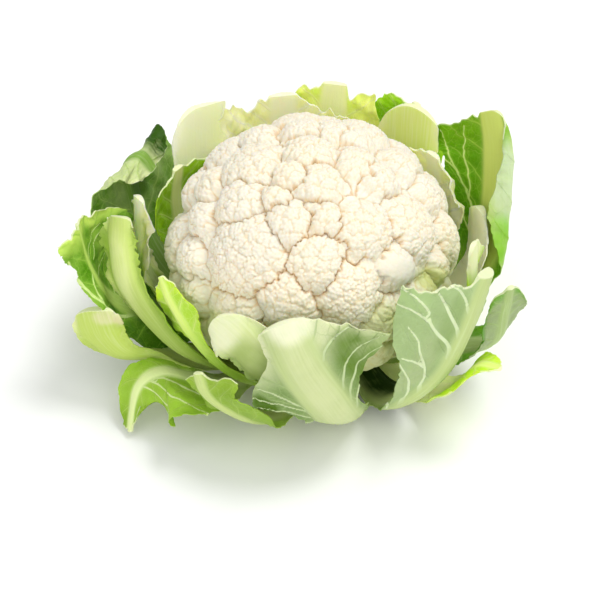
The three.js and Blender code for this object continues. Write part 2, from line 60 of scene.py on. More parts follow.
def along(stations: Sequence[float], t: np.ndarray) -> np.ndarray:
    """Reads a smooth curve through evenly spaced stations.

    Args:
        stations: The values at even steps from 0 to 1.
        t: Where to read, each from 0 to 1.

    Returns:
        The value at each place.
    """
    values = np.asarray(stations, dtype=float)
    last = len(values) - 1
    if last == 0:
        return np.full(np.shape(t), values[0])
    place = np.clip(t, 0, 1) * last
    i = np.minimum(place.astype(int), last - 1)
    x = place - i
    ends = (2 * values[0] - values[1], 2 * values[-1] - values[-2])
    row = np.concatenate(([ends[0]], values, [ends[1]]))
    a, b, c, d = (row[i + k] for k in range(4))
    return b + 0.5 * x * (c - a + x * (2 * a - 5 * b + 4 * c - d + x * (3 * (b - c) + d - a)))


def smooth(low: float | np.ndarray, high: float | np.ndarray, x: np.ndarray) -> np.ndarray:
    """Rises from 0 to 1 between two values, level at both ends.

    Args:
        low: Where it leaves 0.
        high: Where it reaches 1.
        x: Where to read it.

    Returns:
        The share at each place.
    """
    share = np.clip((x - low) / (high - low), 0, 1)
    return share * share * (3 - 2 * share)


def unit(vectors: np.ndarray) -> np.ndarray:
    """Returns vectors of length one, the same way round."""
    return vectors / np.linalg.norm(vectors, axis=-1, keepdims=True)


class Swell:
    """A gentle irregular swell from -1 to 1: waves of about one length, summed in all directions."""

    def __init__(self, seed: str, length: float, waves: int = 9, axes: int = 2) -> None:
        """Draws the waves.

        Args:
            seed: Sets the random draws.
            length: About how far apart the crests are, in the units of the places it is read at.
            waves: How many waves are summed.
            axes: How many coordinates a place has.
        """
        draw = random.Random(seed)
        ways = unit(np.array([[draw.gauss(0, 1) for _ in range(axes)] for _ in range(waves)]))
        pace = np.array([draw.uniform(0.6, 1.7) for _ in range(waves)])
        self.ways = ways * (pace * 2 * math.pi / length)[:, None]
        self.starts = np.array([draw.uniform(0, 2 * math.pi) for _ in range(waves)])
        self.share = 1.6 / waves

    def at(self, *places: np.ndarray) -> np.ndarray:
        """Reads the swell.

        Args:
            places: One array for each coordinate.

        Returns:
            The height at each place.
        """
        total = np.zeros(np.broadcast(*places).shape)
        for way, start in zip(self.ways, self.starts):
            total += np.sin(sum(w * p for w, p in zip(way, places)) + start)
        return total * self.share


def clear_selection() -> None:
    """Deselects everything, so that an operator acts on the new piece alone."""
    bpy.ops.object.select_all(action="DESELECT")


def rows_of(items: bpy.types.bpy_prop_collection, name: str) -> np.ndarray:
    """Reads a vector that each point or face of a mesh holds.

    Args:
        items: The mesh's points or faces.
        name: The vector's name.

    Returns:
        The vectors as rows of x, y and z.
    """
    flat = np.empty(len(items) * 3)
    items.foreach_get(name, flat)
    return flat.reshape(-1, 3)


def lay_points(mesh: bpy.types.Mesh, points: np.ndarray) -> None:
    """Moves a mesh's points to new places."""
    mesh.vertices.foreach_set("co", np.ascontiguousarray(points, dtype=float).ravel())
    mesh.update()


def mark(mesh: bpy.types.Mesh, name: str, values: np.ndarray) -> None:
    """Keeps a number or a vector at each point, for the finish to read.

    Args:
        mesh: The mesh.
        name: The mark's name.
        values: A number, or three, for each point.
    """
    kind, slot = ("FLOAT_VECTOR", "vector") if values.ndim == 2 else ("FLOAT", "value")
    mesh.attributes.new(name, kind, "POINT").data.foreach_set(slot, np.asarray(values, dtype=float).ravel())


def select_faces(mesh: bpy.types.Mesh, wanted: np.ndarray) -> None:
    """Selects the faces that a mask names, with their edges and points, for edit mode.

    Args:
        mesh: The mesh, in object mode.
        wanted: One truth value for each face.
    """
    mesh.vertices.foreach_set("select", np.zeros(len(mesh.vertices), dtype=bool))
    mesh.edges.foreach_set("select", np.zeros(len(mesh.edges), dtype=bool))
    mesh.polygons.foreach_set("select", wanted)


class Tone:
    """A node socket that holds a number, on which Python's arithmetic works."""

    def __init__(self, desk: "Desk", socket: bpy.types.NodeSocket) -> None:
        """Wraps a socket of one of a desk's nodes."""
        self.desk = desk
        self.socket = socket

    def _math(self, operation: str, *values: "Tone | float", clamp: bool = False) -> "Tone":
        """Adds a Math node.

        Args:
            operation: The node's operation.
            values: What goes into its sockets, in order.
            clamp: Whether the result is kept from 0 to 1.

        Returns:
            The result.
        """
        settings = {"operation": operation, "use_clamp": clamp}
        made = self.desk.node("ShaderNodeMath", settings, dict(enumerate(values)))
        return Tone(self.desk, made.outputs[0])

    def __add__(self, other: "Tone | float") -> "Tone":
        """Adds."""
        return self._math("ADD", self, other)

    __radd__ = __add__

    def __mul__(self, other: "Tone | float") -> "Tone":
        """Multiplies."""
        return self._math("MULTIPLY", self, other)

    __rmul__ = __mul__

    def __sub__(self, other: "Tone | float") -> "Tone":
        """Subtracts."""
        return self._math("SUBTRACT", self, other)

    def __rsub__(self, other: float) -> "Tone":
        """Subtracts from a number."""
        return self._math("SUBTRACT", other, self)

    def __truediv__(self, other: "Tone | float") -> "Tone":
        """Divides."""
        return self._math("DIVIDE", self, other)

    def fraction(self) -> "Tone":
        """Returns what is left after the whole number."""
        return self._math("FRACT", self)

    def size(self) -> "Tone":
        """Returns the number without its sign."""
        return self._math("ABSOLUTE", self)

    def most(self, other: "Tone | float") -> "Tone":
        """Returns the larger of two."""
        return self._math("MAXIMUM", self, other)

    def clamped(self) -> "Tone":
        """Keeps the number from 0 to 1."""
        return self._math("ADD", self, 0.0, clamp=True)

    def rise(self, low: "Tone | float", high: "Tone | float") -> "Tone":
        """Rises smoothly from 0 at the low value to 1 at the high one."""
        share = ((self - low) / (high - low)).clamped()
        return share * share * (3.0 - 2.0 * share)


class Desk:
    """One material's node tree, with one way to add any node."""

    def __init__(self, name: str) -> None:
        """Starts an empty material.

        Args:
            name: The material's name.
        """
        self.material = bpy.data.materials.new(name)
        self.material.use_nodes = True
        self.tree = self.material.node_tree
        self.tree.nodes.clear()

    def node(self, kind: str, settings: dict | None = None, sockets: dict | None = None) -> bpy.types.Node:
        """Adds a node.

        Args:
            kind: The node's type.
            settings: The node's own settings, which are set first.
            sockets: A value, a Tone or a socket for each input, by name or number.

        Returns:
            The node.
        """
        made = self.tree.nodes.new(kind)
        for name, value in (settings or {}).items():
            setattr(made, name, value)
        for name, value in (sockets or {}).items():
            if isinstance(value, Tone):
                value = value.socket
            if isinstance(value, bpy.types.NodeSocket):
                self.tree.links.new(value, made.inputs[name])
            elif isinstance(value, tuple) and made.inputs[name].type == "RGBA":
                made.inputs[name].default_value = (*value, 1.0)
            else:
                made.inputs[name].default_value = value
        return made

    def kept(self, name: str, output: str) -> bpy.types.NodeSocket:
        """Returns what is kept at the points under a name, as the output says."""
        return self.node("ShaderNodeAttribute", {"attribute_name": name}).outputs[output]

    def marked(self, name: str) -> Tone:
        """Reads a number kept at the points."""
        return Tone(self, self.kept(name, "Fac"))

    def parts_of(self, vector: bpy.types.NodeSocket) -> tuple[Tone, Tone, Tone]:
        """Splits a vector into its three numbers."""
        split = self.node("ShaderNodeSeparateXYZ", None, {0: vector})
        return tuple(Tone(self, out) for out in split.outputs)

    def place(self) -> bpy.types.NodeSocket:
        """Returns the point's place on the object, in metres."""
        return self.node("ShaderNodeTexCoord").outputs["Object"]

    def flat(self, x: Tone | float, y: Tone | float) -> bpy.types.NodeSocket:
        """Makes a vector of two numbers, with nothing up."""
        return self.node("ShaderNodeCombineXYZ", None, {0: x, 1: y, 2: 0.0}).outputs[0]

    def grain(self, where: bpy.types.NodeSocket, scale: float, detail: float = 3.0) -> Tone:
        """Reads a soft noise.

        Args:
            where: The vector it is read at.
            scale: How many features there are in one unit of it.
            detail: How many finer layers are added.

        Returns:
            The noise, about 0 to 1.
        """
        sockets = {"Vector": where, "Scale": scale, "Detail": detail, "Roughness": 0.55}
        return Tone(self, self.node("ShaderNodeTexNoise", None, sockets).outputs["Fac"])

    def mesh_lines(self, where: bpy.types.NodeSocket, scale: float, width: float) -> Tone:
        """Draws the walls between irregular cells.

        Args:
            where: The vector it is read at.
            scale: How many cells there are in one unit of it.
            width: A wall's half width, as a share of a cell.

        Returns:
            1 on the walls, 0 in the cells.
        """
        settings = {"feature": "DISTANCE_TO_EDGE"}
        cells = self.node("ShaderNodeTexVoronoi", settings, {"Vector": where, "Scale": scale})
        return 1.0 - Tone(self, cells.outputs["Distance"]).rise(0.2 * width, width)

    def mix(self, share: Tone | float, a: object, b: object) -> bpy.types.NodeSocket:
        """Mixes two colours.

        Args:
            share: How much of the second there is.
            a: The first colour, or its socket.
            b: The second colour, or its socket.

        Returns:
            The mixed colour's socket.
        """
        made = self.node("ShaderNodeMix", {"data_type": "RGBA"}, {0: share, 6: a, 7: b})
        return made.outputs[2]

    def relief(self, height: Tone, depth: float) -> bpy.types.NodeSocket:
        """Turns a height into a bumped normal.

        Args:
            height: The height, about 0 to 1.
            depth: What a height of 1 stands for, in metres.

        Returns:
            The normal.
        """
        sockets = {"Height": height, "Distance": depth, "Strength": 1.0}
        return self.node("ShaderNodeBump", None, sockets).outputs["Normal"]

    def flesh(self, sockets: dict) -> bpy.types.Material:
        """Ends the tree in the shader of a living thing, which light enters a little way.

        Args:
            sockets: The shader's sockets.

        Returns:
            The finished material.
        """
        shader = self.node("ShaderNodeBsdfPrincipled", {"subsurface_method": "RANDOM_WALK"}, sockets)
        self.node("ShaderNodeOutputMaterial", None, {"Surface": shader.outputs[0]})
        return self.material


@dataclass(frozen=True)
class CurdFinish:
    """The white head's surface: cream; tan in the creases, darkened there by painted shade; green low down,
    partly its own green and partly painted light reflected from the leaves.
    """

    crown: Colour = (0.84, 0.81, 0.70)
    shoulder: Colour = (0.88, 0.82, 0.67)
    # nook and crease are darker tans for the hollows and creases: partly the head's own colour, partly
    # painted shade
    nook: Colour = (0.82, 0.63, 0.34)
    crease: Colour = (0.72, 0.43, 0.17)
    green_and_leaf_reflection: Colour = (0.54, 0.61, 0.16)
    patch_scale: float = 38.0
    grain_scale: float = 900.0
    fine_scale: float = 2400.0
    nook_share: float = 0.42
    pit_share: float = 0.26
    grain_share: float = 0.12
    crease_share: float = 0.85
    grain_depth: float = 0.35 * MM
    rough: float = 0.62
    sheen: float = 0.35
    glow: float = 0.5
    glow_reach: Colour = (1.0, 0.8, 0.5)
    glow_depth: float = 1.5 * MM

    def material(self) -> bpy.types.Material:
        """Builds the material from the head's own marks.

        Returns:
            The finished material.
        """
        desk = Desk("curd_flesh")
        where = desk.place()
        crease, nook, pit, low = (desk.marked(name) for name in ("crease", "nook", "pit", "low"))
        patches = desk.grain(where, self.patch_scale)
        grain = desk.grain(where, self.grain_scale, 2.0)
        fine = desk.grain(where, self.fine_scale, 1.0)
        # The nook colour goes into the hollows and pits, with a random stipple, and the crease colour into
        # the creases: darker tan, partly the head's own tan and partly painted shade
        deep = nook * self.nook_share + pit * self.pit_share + grain.rise(0.5, 0.8) * self.grain_share
        colour = desk.mix(patches.rise(0.35, 0.68), self.crown, self.shoulder)
        colour = desk.mix(deep.clamped(), colour, self.nook)
        creased = (crease * patches.rise(0.1, 0.7) * self.crease_share).clamped()
        colour = desk.mix(creased, colour, self.crease)
        # Green low down and near the leaves: partly the head's own green, partly painted green light
        # reflected from the leaves
        colour = desk.mix((low * (0.35 + patches * 0.7)).clamped(), colour, self.green_and_leaf_reflection)
        return desk.flesh(
            {
                "Base Color": colour,
                "Roughness": self.rough - grain * 0.14,
                "Subsurface Weight": self.glow,
                "Subsurface Radius": self.glow_reach,
                "Subsurface Scale": self.glow_depth,
                "Specular IOR Level": self.sheen,
                "Normal": desk.relief(grain * 0.7 + fine * 0.3, self.grain_depth),
            }
        )


@dataclass
class Curd:
    """The white head: florets that grew as one body, each of small domes, each of grains."""

    radius: float = 78.0
    height: float = 66.0
    underside_start: float = 80.0
    underside_depth: float = 0.5
    line_of_sight: float = 40.0
    floret_drop: float = 4.2
    floret_power: float = 2.6
    crease_depth: float = 1.9
    crease_width: float = 0.8
    drift: float = 0.6
    dome_spacing: float = 3.9
    dome_rise: float = 0.42
    dome_crease: float = 0.34
    nook_width: float = 0.58
    grain_spacing: float = 1.12
    grain_rise: float = 0.7
    pit_width: float = 0.45
    smooth_rise: float = 0.9
    relief_end: tuple[float, float] = (105.0, 150.0)
    green_start: tuple[float, float] = (60.0, 100.0)
    seed: int = 7
    ball_steps: int = 7
    fine_above: float = 7.5
    finish: CurdFinish = CurdFinish()

    # Florets that the front shows, each as (across, up, radius), seen square on along the line of sight
    FLORETS_SEEN = (
        (-36, 2, 22), (1, -2, 15.5), (29, 16, 15.5), (-13, 19, 12), (-40, 31, 14), (-20, 33, 8),
        (-12, 46, 10), (3, 41, 12.5), (8, 21, 9.5), (-35, 52, 17), (-30, 68, 12), (-2, 58, 14),
        (-5, 71, 12), (11, 70, 12), (24, 52, 12), (22, 67, 12), (36, 43, 11), (-65, 40, 12),
        (-60, 23, 10.5), (-67, 1, 12), (-66, -20, 12), (-13, -23, 16), (21, -20, 17), (44, -4, 12),
        (54, 17, 18), (62, 38, 13), (50, 52, 13), (68, -4, 9), (40, -32, 14), (-40, -32, 15),
    )
    # The long smooth patch's middle and how far it reaches, as (across, up) in the same view
    SMOOTH_PLACE = (43.5, -4.5)
    SMOOTH_REACH = (17.0, 7.5)
    # Places where the head is painted green, partly its own green and partly painted green light reflected
    # from the leaves, each as (across, up, radius) in the same view
    GREEN_PLACES = ((39, -37, 17), (-51, -34, 11), (63, -10, 9), (10, -44, 10))
    FILLER_RADII = (16.0, 12.0, 8.5)
    FILLER_STEPS = 420
    FILLER_SPACING = 0.8
    FILLER_FALL = 1.75
    SPIRAL_REACH = 1.12
    SPIRAL_CROWD = 1.25
    CHUNK = 8000

    def _sight(self) -> tuple[np.ndarray, np.ndarray]:
        """Returns the way up and the way nearer in the view of the head's front."""
        tilt = math.radians(self.line_of_sight)
        return np.array([0, math.sin(tilt), math.cos(tilt)]), np.array([0, -math.cos(tilt), math.sin(tilt)])

    def _smooth_share(self, ways: np.ndarray) -> np.ndarray:
        """Finds the long smooth patch on the front.

        Args:
            ways: Directions from the head's centre.

        Returns:
            How far each direction lies in the patch, from 0 to 1.
        """
        up, near = self._sight()
        across = (ways[:, 0] * self.radius - self.SMOOTH_PLACE[0]) / self.SMOOTH_REACH[0]
        rise = (ways @ up * self.radius - self.SMOOTH_PLACE[1]) / self.SMOOTH_REACH[1]
        return (1 - smooth(0.6, 1.2, np.hypot(across, rise + 0.25 * across))) * (ways @ near > 0)

    def _green_share(self, ways: np.ndarray) -> np.ndarray:
        """Finds the places painted green, partly the head's own green and partly painted green light
        reflected from the leaves.

        Args:
            ways: Directions from the head's centre.

        Returns:
            How far each direction lies in one of them, from 0 to 1.
        """
        up, near = self._sight()
        across, rise = ways[:, 0] * self.radius, ways @ up * self.radius
        far = [np.hypot(across - x, rise - y) / reach for x, y, reach in self.GREEN_PLACES]
        return (1 - smooth(0.4, 1.3, np.min(far, axis=0))) * (ways @ near > 0)

    def _florets(self) -> tuple[np.ndarray, np.ndarray]:
        """Lays out the florets: those the front shows, then fillers along a golden-angle spiral.

        Returns:
            Each floret's direction from the head's centre, and its radius.
        """
        up, near = self._sight()
        places, radii = [], []
        for across, rise, radius in self.FLORETS_SEEN:
            depth = math.sqrt(max(0.0, self.radius**2 - across**2 - rise**2))
            places.append(unit(np.array([across, 0, 0]) + up * rise + near * depth))
            radii.append(radius)
        for radius in self.FILLER_RADII:
            for k in range(self.FILLER_STEPS):
                high = 1 - self.FILLER_FALL * (k + 0.5) / self.FILLER_STEPS
                reach = math.sqrt(1 - high * high)
                turn = k * GOLDEN_ANGLE
                place = np.array([reach * math.cos(turn), reach * math.sin(turn), high])
                gaps = np.linalg.norm(np.array(places) - place, axis=1) * self.radius
                if (gaps > self.FILLER_SPACING * (np.array(radii) + radius)).all():
                    places.append(place)
                    radii.append(radius)
        return np.array(places), np.array(radii, dtype=float)

    def _spiral(
        self, centres: np.ndarray, radii: np.ndarray, spacing: float, draw: random.Random
    ) -> tuple[np.ndarray, np.ndarray]:
        """Sets smaller domes round each centre in a golden-angle spiral, as the head grows them.

        Args:
            centres: Directions of the larger domes.
            radii: Their radii.
            spacing: A small dome's radius.
            draw: Where the random turns come from.

        Returns:
            The small domes' directions, and the number of the larger dome that each belongs to.
        """
        places, owners = [], []
        for owner, (centre, radius) in enumerate(zip(centres, radii)):
            side = unit(np.cross(centre, [0.3, 0.2, 1.0] if abs(centre[2]) < 0.9 else [1.0, 0, 0]))
            other = np.cross(centre, side)
            start = draw.uniform(0, 2 * math.pi)
            count = max(5, round(self.SPIRAL_CROWD * (radius / spacing) ** 2))
            for k in range(count):
                reach = self.SPIRAL_REACH * radius * math.sqrt((k + 0.4) / count) / self.radius
                turn = start + k * GOLDEN_ANGLE + draw.uniform(-0.2, 0.2)
                reach *= draw.uniform(0.94, 1.06)
                offset = side * math.cos(turn) * reach + other * math.sin(turn) * reach
                places.append(unit(centre + offset))
                owners.append(owner)
        return np.array(places), np.array(owners)

    def _floret_shares(
        self, ways: np.ndarray, places: np.ndarray, radii: np.ndarray
    ) -> tuple[np.ndarray, np.ndarray, np.ndarray]:
        """Finds the floret that each direction belongs to.

        Args:
            ways: Directions from the head's centre.
            places: The florets' directions.
            radii: The florets' radii.

        Returns:
            The nearest floret's number, how far out on it the direction lies, and the same for the next.
        """
        nearest, first, second = [], [], []
        for part in np.array_split(ways, max(1, len(ways) // self.CHUNK)):
            gaps = np.linalg.norm(part[:, None, :] - places[None], axis=2) * self.radius / radii
            order = np.argpartition(gaps, 1, axis=1)[:, :2]
            two = np.take_along_axis(gaps, order, axis=1)
            swap = two[:, 0] > two[:, 1]
            nearest.append(np.where(swap, order[:, 1], order[:, 0]))
            first.append(two.min(axis=1))
            second.append(two.max(axis=1))
        return np.concatenate(nearest), np.concatenate(first), np.concatenate(second)

    def _two_nearest(self, ways: np.ndarray, places: np.ndarray) -> tuple[np.ndarray, ...]:
        """Finds the two nearest of many small domes.

        Args:
            ways: Directions from the head's centre.
            places: The small domes' directions.

        Returns:
            The nearest one's number and the next one's, and the distances to them in millimetres.
        """
        tree = KDTree(len(places))
        for k, place in enumerate(places):
            tree.insert(place, k)
        tree.balance()
        found = [tree.find_n(way, 2) for way in ways]
        numbers = np.array([(one[1], two[1]) for one, two in found])
        gaps = np.array([(one[2], two[2]) for one, two in found]) * self.radius
        return numbers[:, 0], numbers[:, 1], gaps[:, 0], gaps[:, 1]

    def _ball(self) -> bpy.types.Object:
        """Adds the ball that the head is shaped from, with finer faces where its florets show.

        Returns:
            The ball.
        """
        clear_selection()
        bpy.ops.mesh.primitive_ico_sphere_add(
            subdivisions=self.ball_steps, radius=self.radius * MM, location=(0, 0, self.height * MM)
        )
        bpy.ops.object.transform_apply(location=True, rotation=True, scale=True)
        ball = bpy.context.object
        ball.name = "curd_head"
        heights = rows_of(ball.data.polygons, "center")[:, 2]
        select_faces(ball.data, heights > (self.height + self.fine_above) * MM)
        bpy.ops.object.mode_set(mode="EDIT")
        bpy.ops.mesh.select_mode(type="FACE")
        bpy.ops.mesh.subdivide(number_cuts=1, smoothness=0)
        bpy.ops.mesh.select_all(action="SELECT")
        bpy.ops.mesh.quads_convert_to_tris()
        bpy.ops.object.mode_set(mode="OBJECT")
        return ball

    def _grains(self, florets: np.ndarray, radii: np.ndarray) -> tuple[np.ndarray, ...]:
        """Sets domes on the florets and grains on the domes, and drops those that another one covers.

        Args:
            florets: The florets' directions.
            radii: The florets' radii.

        Returns:
            The domes' directions, radii and florets, and the grains' directions and domes.
        """
        draw = random.Random(self.seed)
        domes, floret_of = self._spiral(florets, radii, self.dome_spacing, draw)
        own, first, second = self._floret_shares(domes, florets, radii)
        kept = (own == floret_of) & (second - first > 0.05)
        domes, floret_of = domes[kept], floret_of[kept]
        sizes = np.array([draw.uniform(0.8, 1.2) for _ in domes]) * self.dome_spacing
        grains, dome_of = self._spiral(domes, sizes, self.grain_spacing, draw)
        kept = self._two_nearest(grains, domes)[0] == dome_of
        return domes, sizes, floret_of, grains[kept], dome_of[kept]

    def _drifted(self, ways: np.ndarray) -> np.ndarray:
        """Bends the directions a little, so that no boundary runs straight.

        Args:
            ways: Directions from the head's centre.

        Returns:
            The bent directions.
        """
        places = ways.T * self.radius
        drift = np.stack([Swell(f"drift {axis}", 6.0, 12, 3).at(*places) for axis in range(3)], axis=-1)
        return unit(ways + drift * self.drift / self.radius)

    def _relief(self, ways: np.ndarray, fall: np.ndarray) -> tuple[np.ndarray, dict[str, np.ndarray]]:
        """Works out the head's florets, domes and grains.

        Args:
            ways: Directions from the head's centre.
            fall: Each direction's angle from straight up, in degrees.

        Returns:
            How far the surface lies under the head's hull, and the marks that the finish reads.
        """
        florets, radii = self._florets()
        domes, sizes, floret_of, grains, dome_of = self._grains(florets, radii)
        bent = self._drifted(ways)
        near, far, near_gap, far_gap = self._two_nearest(bent, grains)
        dome, next_dome = dome_of[near], dome_of[far]
        floret, next_floret = floret_of[dome], floret_of[next_dome]

        gap = far_gap - near_gap
        pit, nook, crease = (
            np.exp(-((gap / width) ** 2)) for width in (self.pit_width, self.nook_width, self.crease_width)
        )
        bare = self._smooth_share(bent)
        smoothed = 1 - 0.95 * bare
        nook = nook * (dome != next_dome)
        crease = crease * (floret != next_floret) * (1 - 0.9 * bare)
        floret_share = np.linalg.norm(bent - florets[floret], axis=1) * self.radius / radii[floret]
        dome_share = np.linalg.norm(bent - domes[dome], axis=1) * self.radius / sizes[dome]
        uneven = (1 + 0.5 * Swell("domes", 13.0, 12, 3).at(*(ways.T * self.radius))) * smoothed

        domed = np.minimum(dome_share, 1.3) ** 2 - 0.5
        grained = np.minimum(near_gap / self.grain_spacing, 1.2) ** 2 - 0.5
        depth = self.floret_drop * np.minimum(1.4, floret_share**self.floret_power)
        depth += self.crease_depth * crease
        depth += self.dome_rise * uneven * domed + self.dome_crease * nook * smoothed
        depth += self.grain_rise * smoothed * grained
        depth -= self.smooth_rise * bare
        depth *= 1 - smooth(*self.relief_end, fall)
        edge = smooth(0.55, 1.05, floret_share)
        return depth, {
            # crease, nook and pit also place the finish's darker tan: partly the head's own colour, partly
            # painted shade
            "crease": np.maximum(crease, 0.35 * edge * nook),
            "nook": nook * smoothed,
            "pit": pit * smoothed,
            # low: where the head turns green, partly its own green and partly painted light reflected from
            # the leaves
            "low": np.maximum(0.8 * smooth(*self.green_start, fall), self._green_share(bent)),
        }

    def build(self) -> bpy.types.Object:
        """Shapes the head out of the ball, and dresses it.

        Returns:
            The finished head.
        """
        ball = self._ball()
        mesh = ball.data
        centre = np.array([0, 0, self.height])
        ways = unit(rows_of(mesh.vertices, "co") / MM - centre)
        fall = np.degrees(np.arccos(np.clip(ways[:, 2], -1, 1)))
        hull = self.radius * (1 - self.underside_depth * smooth(self.underside_start, 180, fall))
        depth, marks = self._relief(ways, fall)
        lay_points(mesh, (centre + ways * (hull - depth)[:, None]) * MM)
        for name, values in marks.items():
            mark(mesh, name, values)
        mesh.shade_smooth()
        mesh.materials.append(self.finish.material())
        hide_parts("curd")
        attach(ball, "root")
        return ball


@dataclass(frozen=True)
class StalkFinish:
    """The stump's skin and the cut across it, which has pith inside a darker ring."""

    skin: Colour = (0.62, 0.68, 0.32)
    cut: Colour = (0.80, 0.80, 0.52)
    pith: Colour = (0.86, 0.85, 0.62)
    ring: Colour = (0.52, 0.60, 0.24)
    radius: float = 26.0 * MM
    cut_end: tuple[float, float] = (0.4 * MM, 2.2 * MM)
    grain_scale: float = 420.0
    patch_scale: float = 60.0
    grain_depth: float = 0.3 * MM
    rough: float = 0.42
    glow: float = 0.15
    glow_reach: Colour = (1.0, 0.9, 0.4)
    glow_depth: float = 1.5 * MM

    def material(self) -> bpy.types.Material:
        """Builds the material.

        Returns:
            The finished material.
        """
        desk = Desk("stalk_flesh")
        where = desk.place()
        x, y, z = desk.parts_of(where)
        length = desk.node("ShaderNodeVectorMath", {"operation": "LENGTH"}, {0: desk.flat(x, y)})
        reach = Tone(desk, length.outputs["Value"]) / self.radius
        grain = desk.grain(where, self.grain_scale)
        patches = desk.grain(where, self.patch_scale)
        face = 1.0 - z.rise(*self.cut_end)
        ring = reach.rise(0.66, 0.74) * (1.0 - reach.rise(0.80, 0.88))
        cut = desk.mix(reach.rise(0.30, 0.72), self.pith, self.cut)
        cut = desk.mix((ring * (0.35 + grain * 0.7)).clamped(), cut, self.ring)
        skin = desk.mix(patches.rise(0.35, 0.7), self.skin, self.cut)
        return desk.flesh(
            {
                "Base Color": desk.mix(face, skin, cut),
                "Roughness": self.rough + grain * 0.2,
                "Subsurface Weight": self.glow,
                "Subsurface Radius": self.glow_reach,
                "Subsurface Scale": self.glow_depth,
                "Normal": desk.relief(grain, self.grain_depth),
            }
        )


@dataclass
class Stalk:
    """The stump under the head, cut flat."""

    radius: float = 26.0
    height: float = 24.4
    edge: float = 1.5
    edge_steps: int = 3
    sides: int = 96
    rings: int = 4
    ring_gap: float = 4.5
    neck: float = 0.16
    scar_depth: float = 0.022
    dish_depth: float = 0.12
    dish_radius: float = 23.0
    finish: StalkFinish = StalkFinish()

    def _select_ends(self, mesh: bpy.types.Mesh) -> None:
        """Goes into edit mode with the stump's two flat ends selected.

        Args:
            mesh: The stump's mesh.
        """
        heights = rows_of(mesh.polygons, "center")[:, 2] / MM
        select_faces(mesh, (heights < 0.01) | (heights > self.height - 0.01))
        bpy.ops.object.mode_set(mode="EDIT")
        bpy.ops.mesh.select_mode(type="FACE")

    def _turned(self) -> bpy.types.Object:
        """Turns the stump from a cylinder, with softened edges and fine faces on its ends.

        Returns:
            The stump, in object mode.
        """
        clear_selection()
        half = self.height / 2 * MM
        bpy.ops.mesh.primitive_cylinder_add(
            vertices=self.sides, radius=self.radius * MM, depth=2 * half, location=(0, 0, half)
        )
        bpy.ops.object.transform_apply(location=True, rotation=True, scale=True)
        stump = bpy.context.object
        stump.name = "stalk_stump"
        self._select_ends(stump.data)
        bpy.ops.mesh.bevel(offset=self.edge * MM, segments=self.edge_steps, affect="EDGES")
        bpy.ops.object.mode_set(mode="OBJECT")
        self._select_ends(stump.data)
        for _ in range(self.rings):
            bpy.ops.mesh.inset(thickness=self.ring_gap * MM)
        bpy.ops.mesh.poke()
        bpy.ops.mesh.select_all(action="SELECT")
        bpy.ops.mesh.subdivide(number_cuts=2)
        bpy.ops.mesh.quads_convert_to_tris()
        bpy.ops.object.mode_set(mode="OBJECT")
        return stump

    def build(self) -> bpy.types.Object:
        """Gives the turned stump its leaf scars, its neck and the dish of its cut, and dresses it.

        Returns:
            The finished stump.
        """
        stump = self._turned()
        mesh = stump.data
        points = rows_of(mesh.vertices, "co") / MM
        turn = np.arctan2(points[:, 1], points[:, 0])
        reach = np.hypot(points[:, 0], points[:, 1])
        wall = smooth(0.5, 3.5, points[:, 2]) * smooth(0.7, 0.95, reach / self.radius)
        scars = Swell("scars", 1.1).at(turn * 3.0, points[:, 2] / 7.0)
        neck = 1 - self.neck * smooth(0.55 * self.height, self.height, points[:, 2])
        points[:, :2] *= ((1 + self.scar_depth * scars * wall) * np.where(wall > 0, neck, 1))[:, None]
        dish = self.dish_depth * (1 + Swell("cut", 9.0).at(points[:, 0], points[:, 1]))
        points[:, 2] += np.where(points[:, 2] < 0.2, dish * (reach < self.dish_radius), 0)
        lay_points(mesh, points * MM)
        bpy.ops.object.shade_smooth_by_angle(angle=math.radians(50))
        mesh.materials.append(self.finish.material())
        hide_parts("stalk")
        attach(stump, "root")
        return stump


